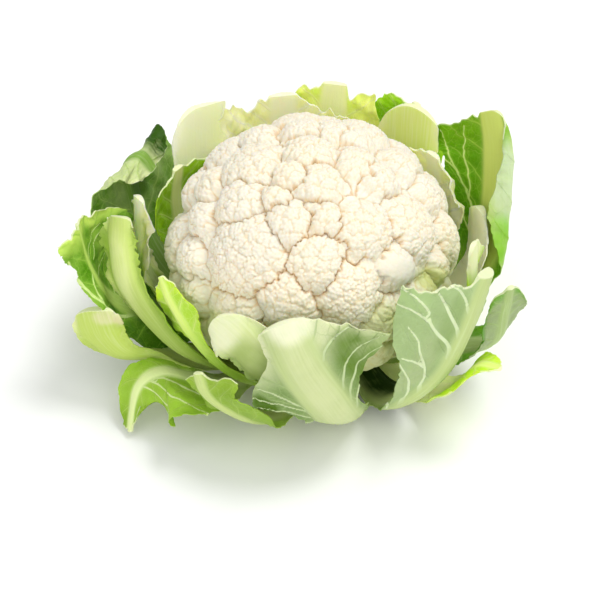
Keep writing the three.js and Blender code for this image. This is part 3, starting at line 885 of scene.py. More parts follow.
@dataclass(frozen=True)
class LeafFinish:
    """A leaf's colours: its inner and outer face, its midrib, its fine and thick veins and its tip."""

    inner: Colour
    outer: Colour
    rib: Colour
    vein: Colour
    tip: Colour
    stem: Colour = (0.80, 0.86, 0.55)
    root: Colour = (0.62, 0.72, 0.30)
    cut: Colour = (0.84, 0.87, 0.58)
    tip_start: float = 0.82
    vein_share: float = 0.75
    net_share: float = 0.5
    bloom: float = 0.3
    rough: float = 0.45
    glow: float = 0.2
    glow_reach: Colour = (0.8, 1.0, 0.3)
    glow_depth: float = 2.0 * MM
    sheen: float = 0.15
    root_end: float = 0.3
    patch_scale: float = 55.0
    grain_scale: float = 700.0
    net_scale: float = 0.13
    net_width: float = 0.035
    fine_scale: float = 0.36
    fine_width: float = 0.06
    bend_scale: float = 0.12
    bend: float = 5.0
    relief_depth: float = 0.45 * MM

    def _net(self, desk: Desk, across: Tone, length: Tone) -> tuple[Tone, Tone]:
        """Draws the net of fine veins between the side veins.

        Args:
            desk: The material's desk.
            across: The place across the leaf, in millimetres.
            length: The place along the leaf, in millimetres.

        Returns:
            The wide net's lines and the fine one's.
        """
        bent = desk.grain(desk.flat(across, length), self.bend_scale, 2.0)
        warped = desk.flat(across + bent * self.bend, length * 0.8 + bent * self.bend)
        return (
            desk.mesh_lines(warped, self.net_scale, self.net_width),
            desk.mesh_lines(warped, self.fine_scale, self.fine_width),
        )

    def material(self, name: str) -> bpy.types.Material:
        """Builds the material that reads a leaf's own marks.

        Args:
            name: The material's name.

        Returns:
            The finished material.
        """
        desk = Desk(name)
        where = desk.place()
        across, length, _ = desk.parts_of(desk.kept("flat", "Vector"))
        phase, reach, spacing = desk.parts_of(desk.kept("veins", "Vector"))
        rib, inner, tip = desk.parts_of(desk.kept("zones", "Vector"))
        thick, sided, tinted = desk.parts_of(desk.kept("stem", "Vector"))
        cut, root = desk.marked("cut"), desk.marked("root")
        patches = desk.grain(where, self.patch_scale)
        grain = desk.grain(where, self.grain_scale, 2.0)
        streak = desk.grain(desk.flat(across * 0.9, length * 0.03), 1.0, 2.0)

        # Side veins, the net between them and the thick veins' pale stems, all off the midrib
        off_rib = 1.0 - rib
        half = 0.35 + 0.75 * (1.0 - reach.rise(0.0, 1.0))
        gap = (phase.fraction() - 0.5).size() * spacing
        shown = 1.0 - reach.rise(0.86, 1.0)
        lateral = (1.0 - gap.rise(half * 0.45, half)) * shown
        halo = (1.0 - gap.rise(half, half * 5.0)) * shown
        net, fine = self._net(desk, across, length)
        netted = net.most(fine * 0.5) * self.net_share
        lines = (lateral.most(netted) * off_rib * self.vein_share).clamped()
        stem = (1.0 - sided.size().rise(0.62, 1.1)) * (1.0 - thick.rise(1.25, 1.8)) * off_rib
        beside = 1.0 - thick.rise(1.0, 3.4)

        # The blade's two faces, then what lies over both
        bloom = (patches * 0.6 + grain * 0.4).rise(0.35, 0.8) * self.bloom
        outer_face = desk.mix(bloom, self.outer, self.vein)
        inner_face = desk.mix(patches.rise(0.3, 0.75) * 0.35, self.inner, self.tip)
        # The root colour near the stalk is the pale base on most looks, and painted shade on RIBBED_GREEN
        midrib = desk.mix(root * 0.6, self.rib, self.root)
        uneven = (patches * 0.75 + streak * 0.25).rise(0.22, 0.66)
        colour = desk.mix(inner, outer_face, inner_face)
        for share, over in (
            (tip * 0.85, self.tip),
            (root * 0.8, self.root),
            ((halo * 0.22 * off_rib).most(beside * 0.3), self.vein),
            (lines, self.vein),
            (rib, midrib),
            (rib * streak.rise(0.42, 0.72) * 0.22, self.stem),
            (rib * (1.0 - streak.rise(0.28, 0.5)) * 0.1, self.outer),
            # Patches: mostly the leaf's own colours, but two are painted shade and one is partly a painted
            # highlight
            ((tinted * (0.45 + uneven * 0.75)).clamped(), desk.kept("tint", "Color")),
            (stem * 0.92, self.stem),
            (cut * 0.7, self.cut),
        ):
            colour = desk.mix(share, colour, over)

        height = (lateral * 0.5 + net * 0.2 + fine * 0.08) * off_rib + grain * 0.25
        height = height + rib * streak * 0.28 + stem * 0.3
        return desk.flesh(
            {
                "Base Color": colour,
                "Roughness": self.rough + 0.16 * grain,
                "Subsurface Weight": self.glow,
                "Subsurface Radius": self.glow_reach,
                "Subsurface Scale": self.glow_depth,
                "Specular IOR Level": self.sheen,
                "Normal": desk.relief(height, self.relief_depth),
            }
        )


class Look(Enum):
    """The looks that this head's leaves come in."""

    DARK = LeafFinish(
        (0.115, 0.33, 0.001), (0.46, 0.58, 0.20), (0.62, 0.72, 0.16), (0.40, 0.62, 0.07), (0.17, 0.40, 0.002),
        stem=(0.68, 0.82, 0.28), glow=0.3, root=(0.46, 0.62, 0.10), root_end=0.38,
    )
    BROAD_LEFT = LeafFinish(
        (0.075, 0.25, 0.001), (0.42, 0.57, 0.10), (0.48, 0.66, 0.14), (0.34, 0.58, 0.07), (0.66, 0.86, 0.16),
        stem=(0.62, 0.78, 0.28), tip_start=0.90, root=(0.07, 0.21, 0.002), root_end=0.5,
    )
    # Its dark green root colour, over the lower part of the leaf, is painted shade
    RIBBED_GREEN = LeafFinish(
        (0.24, 0.42, 0.02), (0.40, 0.56, 0.09), (0.57, 0.68, 0.19), (0.46, 0.62, 0.12), (0.62, 0.72, 0.26),
        stem=(0.66, 0.76, 0.30), vein_share=0.4, tip_start=0.86, root=(0.17, 0.30, 0.012), root_end=0.62,
    )
    HANGING = LeafFinish(
        (0.35, 0.57, 0.05), (0.36, 0.52, 0.12), (0.74, 0.84, 0.38), (0.42, 0.60, 0.10), (0.20, 0.36, 0.012),
        stem=(0.70, 0.82, 0.38),
    )
    LOW_GREEN = LeafFinish(
        (0.34, 0.55, 0.04), (0.24, 0.40, 0.03), (0.56, 0.66, 0.24), (0.42, 0.58, 0.12), (0.30, 0.46, 0.04),
        stem=(0.70, 0.82, 0.38),
    )
    GLAUCOUS = LeafFinish(
        (0.17, 0.34, 0.015), (0.35, 0.465, 0.20), (0.52, 0.62, 0.25), (0.47, 0.60, 0.29), (0.40, 0.54, 0.23),
        stem=(0.74, 0.84, 0.52), bloom=0.5, rough=0.5, vein_share=0.45,
    )
    RIMMED = LeafFinish(
        (0.12, 0.35, 0.004), (0.29, 0.365, 0.17), (0.40, 0.52, 0.20), (0.42, 0.56, 0.22), (0.13, 0.38, 0.003),
        stem=(0.70, 0.80, 0.48), bloom=0.5, tip_start=0.90,
    )
    RIB_FRONT = LeafFinish(
        (0.28, 0.44, 0.04), (0.185, 0.285, 0.08), (0.50, 0.59, 0.25), (0.38, 0.50, 0.20), (0.80, 0.83, 0.50),
        stem=(0.58, 0.68, 0.37), tip_start=0.72, bloom=0.4, rough=0.48,
    )
    WHITE_GREEN = LeafFinish(
        (0.50, 0.63, 0.18), (0.46, 0.59, 0.19), (0.66, 0.73, 0.34), (0.66, 0.74, 0.36), (0.72, 0.78, 0.42),
        vein_share=0.5, glow=0.3,
    )
    SMOOTH_PALE = LeafFinish(
        (0.93, 0.95, 0.66), (0.88, 0.93, 0.52), (0.93, 0.95, 0.64), (0.95, 0.96, 0.74), (0.95, 0.96, 0.74),
        stem=(0.95, 0.95, 0.76), vein_share=0.3, glow=0.5,
    )
    SMOOTH_YELLOW = LeafFinish(
        (0.80, 0.87, 0.28), (0.66, 0.79, 0.16), (0.76, 0.84, 0.26), (0.90, 0.93, 0.50), (0.88, 0.92, 0.50),
        stem=(0.95, 0.95, 0.76), vein_share=0.3, glow=0.5,
    )
    CRINKLED_YELLOW = LeafFinish(
        (0.94, 0.95, 0.56), (0.84, 0.89, 0.38), (0.94, 0.95, 0.66), (0.96, 0.96, 0.80), (0.88, 0.94, 0.40),
        stem=(0.95, 0.95, 0.76), vein_share=0.55, glow=0.8, glow_depth=4.0 * MM,
    )
    LIME = LeafFinish(
        (0.48, 0.76, 0.02), (0.42, 0.68, 0.035), (0.72, 0.86, 0.22), (0.78, 0.92, 0.30), (0.60, 0.86, 0.04),
        vein_share=0.6, glow=0.4, root=(0.88, 0.91, 0.54), root_end=0.5,
    )
    BRIGHT_LIME = LeafFinish(
        (0.93, 0.96, 0.32), (0.50, 0.74, 0.05), (0.94, 0.96, 0.52), (0.92, 0.95, 0.50), (0.74, 0.92, 0.14),
        vein_share=0.5, glow=0.5, root=(0.88, 0.91, 0.54), root_end=0.5,
    )
    YOUNG_GREEN = LeafFinish(
        (0.25, 0.50, 0.006), (0.62, 0.80, 0.06), (0.72, 0.80, 0.30), (0.58, 0.76, 0.18), (0.34, 0.62, 0.012),
        vein_share=0.6, glow=0.3,
    )
    FOLDED_DARK = LeafFinish(
        (0.13, 0.30, 0.015), (0.58, 0.66, 0.32), (0.20, 0.36, 0.05), (0.46, 0.62, 0.18), (0.72, 0.77, 0.42),
        tip_start=0.9, bloom=0.45,
    )
    PALE_OUTSIDE = LeafFinish(
        (0.30, 0.46, 0.03), (0.46, 0.60, 0.10), (0.52, 0.65, 0.13), (0.70, 0.78, 0.30), (0.80, 0.85, 0.42),
        tip_start=0.82, vein_share=0.35, bloom=0.35,
    )


@dataclass(frozen=True)
class Blade:
    """One side of a leaf's blade, in evenly spaced stations along the leaf.

    width is half the leaf's width. fold is the degrees that the blade turns towards the head where it
    leaves the midrib, and curl those that it bends on from there to its edge. slant is the share of the
    leaf's length by which the end is cut back at the edge.
    """

    width: Stations
    fold: Stations = (0,)
    curl: Stations = (0,)
    slant: float = 0.0


@dataclass(frozen=True)
class Vein:
    """A thick side vein, traced on a leaf from its root to its end.

    points are (along the leaf, across it) in millimetres, across counted up towards rising azimuth. root
    and end are half the vein's width where it starts and stops.
    """

    points: tuple[tuple[float, float], ...]
    root: float = 1.1
    end: float = 0.45

    STEPS = 6

    def gap(self, long: np.ndarray, across: np.ndarray) -> tuple[np.ndarray, np.ndarray]:
        """Measures how far places lie from the vein.

        Args:
            long: Each place's distance along the leaf.
            across: Each place's signed distance across it.

        Returns:
            The distance to the vein's middle as a share of its half width there, and the same with a sign
            that tells the vein's two sides apart.
        """
        share = np.linspace(0, 1, self.STEPS * (len(self.points) - 1) + 1)
        line = np.stack([along(axis, share) for axis in zip(*self.points)], axis=-1)
        steps = np.diff(line, axis=0)
        spans = np.linalg.norm(steps, axis=1)
        passed = np.concatenate([[0], np.cumsum(spans)])
        places = np.stack([long, across], axis=-1)
        least = np.full(len(long), np.inf)
        side = np.ones(len(long))
        for start, step, span, before in zip(line[:-1], steps, spans, passed):
            offset = places - start
            share = np.clip(offset @ step / span**2, 0, 1)
            far = np.linalg.norm(offset - share[:, None] * step, axis=1)
            far /= self.root + (self.end - self.root) * (before + share * span) / passed[-1]
            nearer = far < least
            turn = np.sign(step[0] * offset[:, 1] - step[1] * offset[:, 0])
            side = np.where(nearer, turn, side)
            least = np.minimum(least, far)
        return least, least * side


@dataclass(frozen=True)
class Patch:
    """A patch of another colour on a leaf, strongest in its middle. Most are the leaf's own colour; two are
    painted shade and one is partly a painted highlight.

    long and across place its middle on the leaf in millimetres, and long_reach and across_reach are how far
    it spreads each way.
    """

    long: float
    across: float
    long_reach: float
    across_reach: float
    colour: Colour
    strength: float = 0.8

    def share(self, long: np.ndarray, across: np.ndarray) -> np.ndarray:
        """Returns how much of the patch's colour each place takes."""
        far = np.hypot((long - self.long) / self.long_reach, (across - self.across) / self.across_reach)
        return self.strength * (1 - smooth(0.5, 1.15, far))


@dataclass(frozen=True)
class Leaf:
    """A cropped leaf: a fleshy midrib from the stalk to a cut end, and a veined blade on both sides.

    path is the midrib's middle, each station as (azimuth, radius, height). rib is half the midrib's width
    and bulk how far it stands out, roll the degrees that the leaf turns about its midrib, and wave the
    (height, waves along the edge, start) of the edge's ripple. ccw is the side of rising azimuth, cw that
    of falling azimuth. ragged and torn are how uneven the edges and the end are, fray how deep the small
    tears in them go, crinkle how far the blade wrinkles, vein_gap the distance between side veins and
    vein_rake how steeply they lean forwards. veins are the thick ones that this leaf shows, and patches the
    places where its colour is another: mostly its own colour, but two are painted shade and one is partly a
    painted highlight.
    """

    name: str
    path: tuple[tuple[float, float, float], ...]
    rib: Stations
    bulk: Stations
    ccw: Blade
    cw: Blade
    roll: Stations = (0,)
    wave: tuple[float, float, float] = (1.0, 2.0, 0.0)
    look: Look = Look.GLAUCOUS
    ragged: float = 1.3
    fray: float = 0.6
    torn: float = 3.0
    crinkle: float = 0.9
    vein_gap: float = 13.0
    vein_rake: float = 0.75
    veins: tuple[Vein, ...] = ()
    patches: tuple[Patch, ...] = ()

    RIB_FLANGE = 1.6
    RIB_INSIDE = 0.3
    FOLD_SPAN = 0.35
    BEND_STEPS = 24
    FAR = 6.0
    SPACING = 0.95
    BLADE_MIDDLE = 1.1
    BLADE_EDGE = 0.6
    TURN_STEP = 1e-3
    # How far apart the two sides and the two halves of the end lie in the swells that wear them
    SIDES_APART = 40.0
    ENDS_APART = 9.0
    # How much the nibbles and the tears count at the edges and at the end
    EDGE_NIBBLE, END_NIBBLE, END_TEAR = 0.4, 0.5, 1.5
    # How far a side vein bends forwards, how far it drifts, and how far the two sides' veins are out of step
    VEIN_BEND, VEIN_DRIFT, VEIN_STEP = 0.35, 2.2, 0.45
    # How far the midrib's flutes, the veins and the quilted blade between them stand out or lie deep
    FLUTE_WIDTH, FLUTE_DEPTH = 2.3, 0.16
    VEIN_HEIGHT, VEIN_BACK = 0.35, 0.12
    STEM_HEIGHT, STEM_BACK = 1.1, 0.25
    QUILT_DEPTH = 0.35
    PUCKER = 0.45
    WAVE_STEP = 0.37
    # How far apart the crests of each of the leaf's own swells are
    SWELLS = {"edge": 24.0, "nibbles": 7.0, "tears": 3.4, "crinkle": 17.0, "pucker": 7.0, "veins": 30.0}

    def _swell(self, kind: str) -> Swell:
        """Returns one of the leaf's own swells."""
        return Swell(f"{self.name} {kind}", self.SWELLS[kind])

    def _spine(self, t: np.ndarray) -> np.ndarray:
        """Follows the midrib's middle.

        Args:
            t: Shares of its length.

        Returns:
            Its place at each share.
        """
        turn, reach, high = np.array(self.path, dtype=float).T
        turn = np.radians(turn)
        axes = (reach * np.cos(turn), reach * np.sin(turn), high)
        return np.stack([along(axis, t) for axis in axes], axis=-1)

    def _frame(self, t: np.ndarray) -> tuple[np.ndarray, np.ndarray, np.ndarray]:
        """Finds the midrib's place and directions.

        Args:
            t: Shares of its length.

        Returns:
            Its place, the way out from the head, and the way across towards rising azimuth.
        """
        place = self._spine(t)
        ahead, behind = np.minimum(1, t + self.TURN_STEP), np.maximum(0, t - self.TURN_STEP)
        forward = unit(self._spine(ahead) - self._spine(behind))
        turn = np.arctan2(place[..., 1], place[..., 0])
        round_way = np.stack([-np.sin(turn), np.cos(turn), np.zeros_like(turn)], axis=-1)
        outer = unit(np.cross(round_way, forward))
        across = np.cross(forward, outer)
        roll = np.radians(along(self.roll, t))[..., None]
        return (
            place,
            outer * np.cos(roll) + across * np.sin(roll),
            across * np.cos(roll) - outer * np.sin(roll),
        )

    def _width(self, blade: Blade, t: np.ndarray) -> np.ndarray:
        """Returns half the leaf's width on one side at shares of its length."""
        return np.maximum(along(blade.width, t), along(self.rib, t) + self.RIB_FLANGE)

    def _length(self) -> float:
        """Returns the midrib's length."""
        line = self._spine(np.linspace(0, 1, 200))
        return float(np.linalg.norm(np.diff(line, axis=0), axis=1).sum())

    def _columns(self, t: np.ndarray, across: np.ndarray) -> tuple[np.ndarray, np.ndarray, np.ndarray]:
        """Spreads the grid's columns over the midrib and the blade.

        Args:
            t: Each point's share of the length.
            across: Each point's share of the grid's width, from -1 at the cw edge to 1 at the ccw edge.

        Returns:
            Each point's distance from the midrib's middle, its side as -1 or 1, and half the width there.
        """
        side = np.where(across < 0, -1.0, 1.0)
        width = np.where(side < 0, self._width(self.cw, t), self._width(self.ccw, t))
        rib = along(self.rib, t)
        share = np.abs(across)
        inside = self._rib_share()
        on_blade = rib + (width - rib) * (share - inside) / (1 - inside)
        return np.where(share < inside, rib * share / inside, on_blade), side, width

    def _rib_share(self) -> float:
        """Returns the share of the grid's columns that lie on the midrib."""
        widest = max(*self.ccw.width, *self.cw.width)
        return min(0.6, max(0.16, sum(self.rib) / len(self.rib) * 1.3 / widest))

    def _bend(
        self, reach: np.ndarray, t: np.ndarray, side: np.ndarray, width: np.ndarray
    ) -> tuple[np.ndarray, np.ndarray, np.ndarray]:
        """Sums how the blade bends on its way from the midrib.

        Args:
            reach: Distance from the midrib's middle, along the blade.
            t: Share of the leaf's length.
            side: -1 or 1.
            width: Half the leaf's width.

        Returns:
            How far the point lies sideways, how far inwards, and the blade's angle there.
        """
        rib = along(self.rib, t)
        fold, curl = (
            np.radians(np.where(side < 0, along(cw, t), along(ccw, t)))
            for cw, ccw in ((self.cw.fold, self.ccw.fold), (self.cw.curl, self.ccw.curl))
        )

        def angle(distance: np.ndarray) -> np.ndarray:
            """Returns the blade's angle at a distance."""
            return fold * smooth(rib, rib * (1 + self.FOLD_SPAN), distance) + curl * distance / width

        sideways = np.zeros_like(reach)
        inwards = np.zeros_like(reach)
        for k in range(self.BEND_STEPS):
            here = angle(reach * (k + 0.5) / self.BEND_STEPS)
            sideways += np.cos(here) * reach / self.BEND_STEPS
            inwards += np.sin(here) * reach / self.BEND_STEPS
        return sideways, inwards, angle(reach)

    def _on_blade(self, reach: np.ndarray, rib: np.ndarray) -> np.ndarray:
        """Returns 0 on the midrib, rising to 1 on the blade beside it."""
        return smooth(rib * 0.9, rib * 1.25, reach)

    def _wear(
        self, reach: np.ndarray, t: np.ndarray, side: np.ndarray, width: np.ndarray
    ) -> tuple[np.ndarray, np.ndarray]:
        """Wears the blade's edges and its end uneven.

        Args:
            reach: Distance from the midrib's middle, along the blade.
            t: Share of the leaf's length.
            side: -1 or 1.
            width: Half the leaf's width.

        Returns:
            The distance and the share of the length where each point then lies.
        """
        length, rib = self._length(), along(self.rib, t)
        edge, nibble, tear = (self._swell(kind) for kind in ("edge", "nibbles", "tears"))
        beyond = smooth(rib, width, reach)
        at = (t * length, side * self.SIDES_APART)
        ragged = self.ragged * (edge.at(*at) + self.EDGE_NIBBLE * nibble.at(*at))
        ragged -= self.fray * np.clip(tear.at(*at), 0, None) * smooth(0.6, 1, beyond)
        reach = reach + beyond * ragged * smooth(0.1, 0.35, t)

        at = (side * reach, side * self.ENDS_APART)
        torn = self.torn * (edge.at(*at) + self.END_NIBBLE * nibble.at(*at) - 0.6)
        torn -= self.END_TEAR * self.fray * np.clip(tear.at(*at), 0, None) * smooth(0.94, 1, t)
        torn *= self._on_blade(reach, rib)
        slant = np.where(side < 0, self.cw.slant, self.ccw.slant)
        worn = t * (1 - slant * (reach / width) ** 2) + torn / length * smooth(0.7, 1, t)
        return reach, np.clip(worn, 0, 1)

    def _side_veins(
        self, reach: np.ndarray, long: np.ndarray, side: np.ndarray, width: np.ndarray
    ) -> np.ndarray:
        """Counts the side veins, which lean forwards from the midrib.

        Args:
            reach: Distance from the midrib's middle, along the blade.
            long: Distance along the leaf.
            side: -1 or 1.
            width: Half the leaf's width.

        Returns:
            The count at each place, with a vein in the middle between two whole numbers.
        """
        drift = self._swell("veins").at(reach * side, long)
        forward = self.vein_rake * reach + self.VEIN_BEND * reach**2 / np.maximum(width, 20)
        out_of_step = np.where(side < 0, self.VEIN_STEP, 0)
        return (long - forward + self.VEIN_DRIFT * drift) / self.vein_gap + out_of_step

    def _thick_veins(self, long: np.ndarray, across: np.ndarray) -> tuple[np.ndarray, np.ndarray]:
        """Finds the nearest of the thick veins.

        Args:
            long: Each place's distance along the leaf.
            across: Each place's signed distance across it.

        Returns:
            The distance to it as a share of its half width, and the same with its side's sign.
        """
        thick, sided = np.full_like(long, self.FAR), np.full_like(long, self.FAR)
        for vein in self.veins:
            gap, signed_gap = vein.gap(long, across)
            sided = np.where(gap < thick, signed_gap, sided)
            thick = np.minimum(thick, gap)
        return thick, sided

    def _shape(self, t: np.ndarray, across: np.ndarray) -> dict[str, np.ndarray]:
        """Shapes the leaf over its grid.

        Args:
            t: Each point's share of the length, from 0 to 1.
            across: Each point's share of the width, from -1 to 1.

        Returns:
            The outer and the inner face's points, and the marks that the finish reads.
        """
        reach, side, width = self._columns(t, across)
        reach, t_here = self._wear(reach, t, side, width)
        rib, share = along(self.rib, t), reach / width
        long, signed = t_here * self._length(), reach * side
        on_blade = self._on_blade(reach, rib)
        thick, sided = self._thick_veins(long, signed)
        tint, tinted = self._tint(long, signed)
        phase = self._side_veins(reach, long, side, width)
        beside = np.abs(phase - np.floor(phase) - 0.5) * self.vein_gap
        on_vein = (1 - smooth(0.3, 1.5 - 0.8 * share, beside)) * on_blade * (1 - smooth(0.8, 1, share))

        height, waves, start = self.wave
        out_of_step = np.where(side < 0, self.WAVE_STEP, 0)
        ripple = height * share**2 * np.sin(2 * np.pi * (waves * t + start + out_of_step))
        pucker = self.PUCKER * self._swell("pucker").at(signed, long)
        wrinkles = self._swell("crinkle").at(signed, long) + pucker
        ripple += self.crinkle * smooth(rib * 0.9, rib + 10, reach) * wrinkles
        quilt = self.QUILT_DEPTH * (1 - np.cos(2 * np.pi * (phase - 0.5))) * on_blade
        ripple -= quilt * share * (1 - share) * (1 + self.crinkle)

        sideways, inwards, angle = self._bend(reach, t, side, width)
        place, outer, sideways_way = self._frame(t_here)
        normal = outer * np.cos(angle)[:, None] + sideways_way * side[:, None] * np.sin(angle)[:, None]
        middle = place + sideways_way * (side * sideways)[:, None] - outer * inwards[:, None]
        middle = middle + normal * ripple[:, None]

        swollen = np.exp(-(thick**2)) * on_blade
        ridge = np.clip(1 - (reach / rib) ** 2, 0, 1) ** 0.75 * along(self.bulk, t)
        flutes = self.FLUTE_DEPTH * np.cos(signed * 2 * np.pi / self.FLUTE_WIDTH) * smooth(0.4, 2.0, ridge)
        half = 0.5 * (self.BLADE_MIDDLE + (self.BLADE_EDGE - self.BLADE_MIDDLE) * smooth(0.2, 1, share))
        out = half + ridge * (1 - self.RIB_INSIDE) + flutes + self.VEIN_HEIGHT * on_vein
        out = out + self.STEM_HEIGHT * swollen
        back = half + ridge * self.RIB_INSIDE - self.VEIN_BACK * on_vein + self.STEM_BACK * swollen
        on_rib = np.exp(-np.clip((reach - rib * 0.72) / (0.16 * rib + 0.9), 0, None) ** 2)
        finish = self.look.value
        tip = smooth(finish.tip_start, 1, t + 0.05 * self._swell("edge").at(signed, long))
        return {
            "outer": middle + normal * out[:, None],
            "inner": middle - normal * back[:, None],
            "flat": np.stack([signed, long, np.zeros_like(t)], axis=-1),
            "veins": np.stack([phase, share, np.full_like(t, self.vein_gap)], axis=-1),
            "zones": np.stack([on_rib, np.zeros_like(t), tip], axis=-1),
            "stem": np.stack([thick, sided, tinted], axis=-1),
            "tint": tint,
            "root": 1 - smooth(finish.root_end - 0.2, finish.root_end + 0.15, t),
        }

    def _tint(self, long: np.ndarray, across: np.ndarray) -> tuple[np.ndarray, np.ndarray]:
        """Lays the leaf's patches over each other.

        Args:
            long: Each place's distance along the leaf.
            across: Each place's signed distance across it.

        Returns:
            The colour of the patches, and how much of it each place takes.
        """
        tint = np.tile(self.look.value.rib, (len(long), 1))
        tinted = np.zeros_like(long)
        for patch in self.patches:
            share = patch.share(long, across)
            total = share + tinted * (1 - share)
            weight = (share / np.maximum(total, 1e-6))[:, None]
            tint = tint + (np.array(patch.colour) - tint) * weight
            tinted = total
        return tint, tinted

    def _sheet(self) -> tuple[bpy.types.Object, np.ndarray]:
        """Lays a flat grid and doubles it, so that each face of the leaf has its own points.

        Returns:
            The doubled sheet, and the grid's points before it was doubled.
        """
        clear_selection()
        t = np.linspace(0, 1, 50)
        widest = float((self._width(self.cw, t) + self._width(self.ccw, t)).max())
        bpy.ops.mesh.primitive_grid_add(
            x_subdivisions=2 * round(widest / self.SPACING / 2),
            y_subdivisions=round(self._length() / self.SPACING),
            size=2,
        )
        sheet = bpy.context.object
        sheet.name = self.name + "_blade"
        grid = rows_of(sheet.data.vertices, "co")
        double = sheet.modifiers.new("double", "SOLIDIFY")
        double.offset = -1
        bpy.ops.object.modifier_apply(modifier=double.name)
        return sheet, grid

    def build(self) -> bpy.types.Object:
        """Shapes both faces of the sheet into the leaf, and dresses it in all but its material.

        Returns:
            The leaf, without its material.
        """
        leaf, grid = self._sheet()
        mesh = leaf.data
        shape = self._shape((grid[:, 1] + 1) / 2, grid[:, 0])
        lay_points(mesh, np.concatenate([shape.pop("outer"), shape.pop("inner")]) * MM)
        shape["cut"] = (grid[:, 1] > 1 - 1e-4).astype(float)
        both = {name: np.concatenate([values] * 2) for name, values in shape.items()}
        both["zones"][len(grid) :, 1] = 1
        for name, values in both.items():
            mark(mesh, name, values)
        bpy.ops.object.shade_smooth_by_angle(angle=math.radians(55))
        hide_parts(self.name)
        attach(leaf, "root")
        return leaf


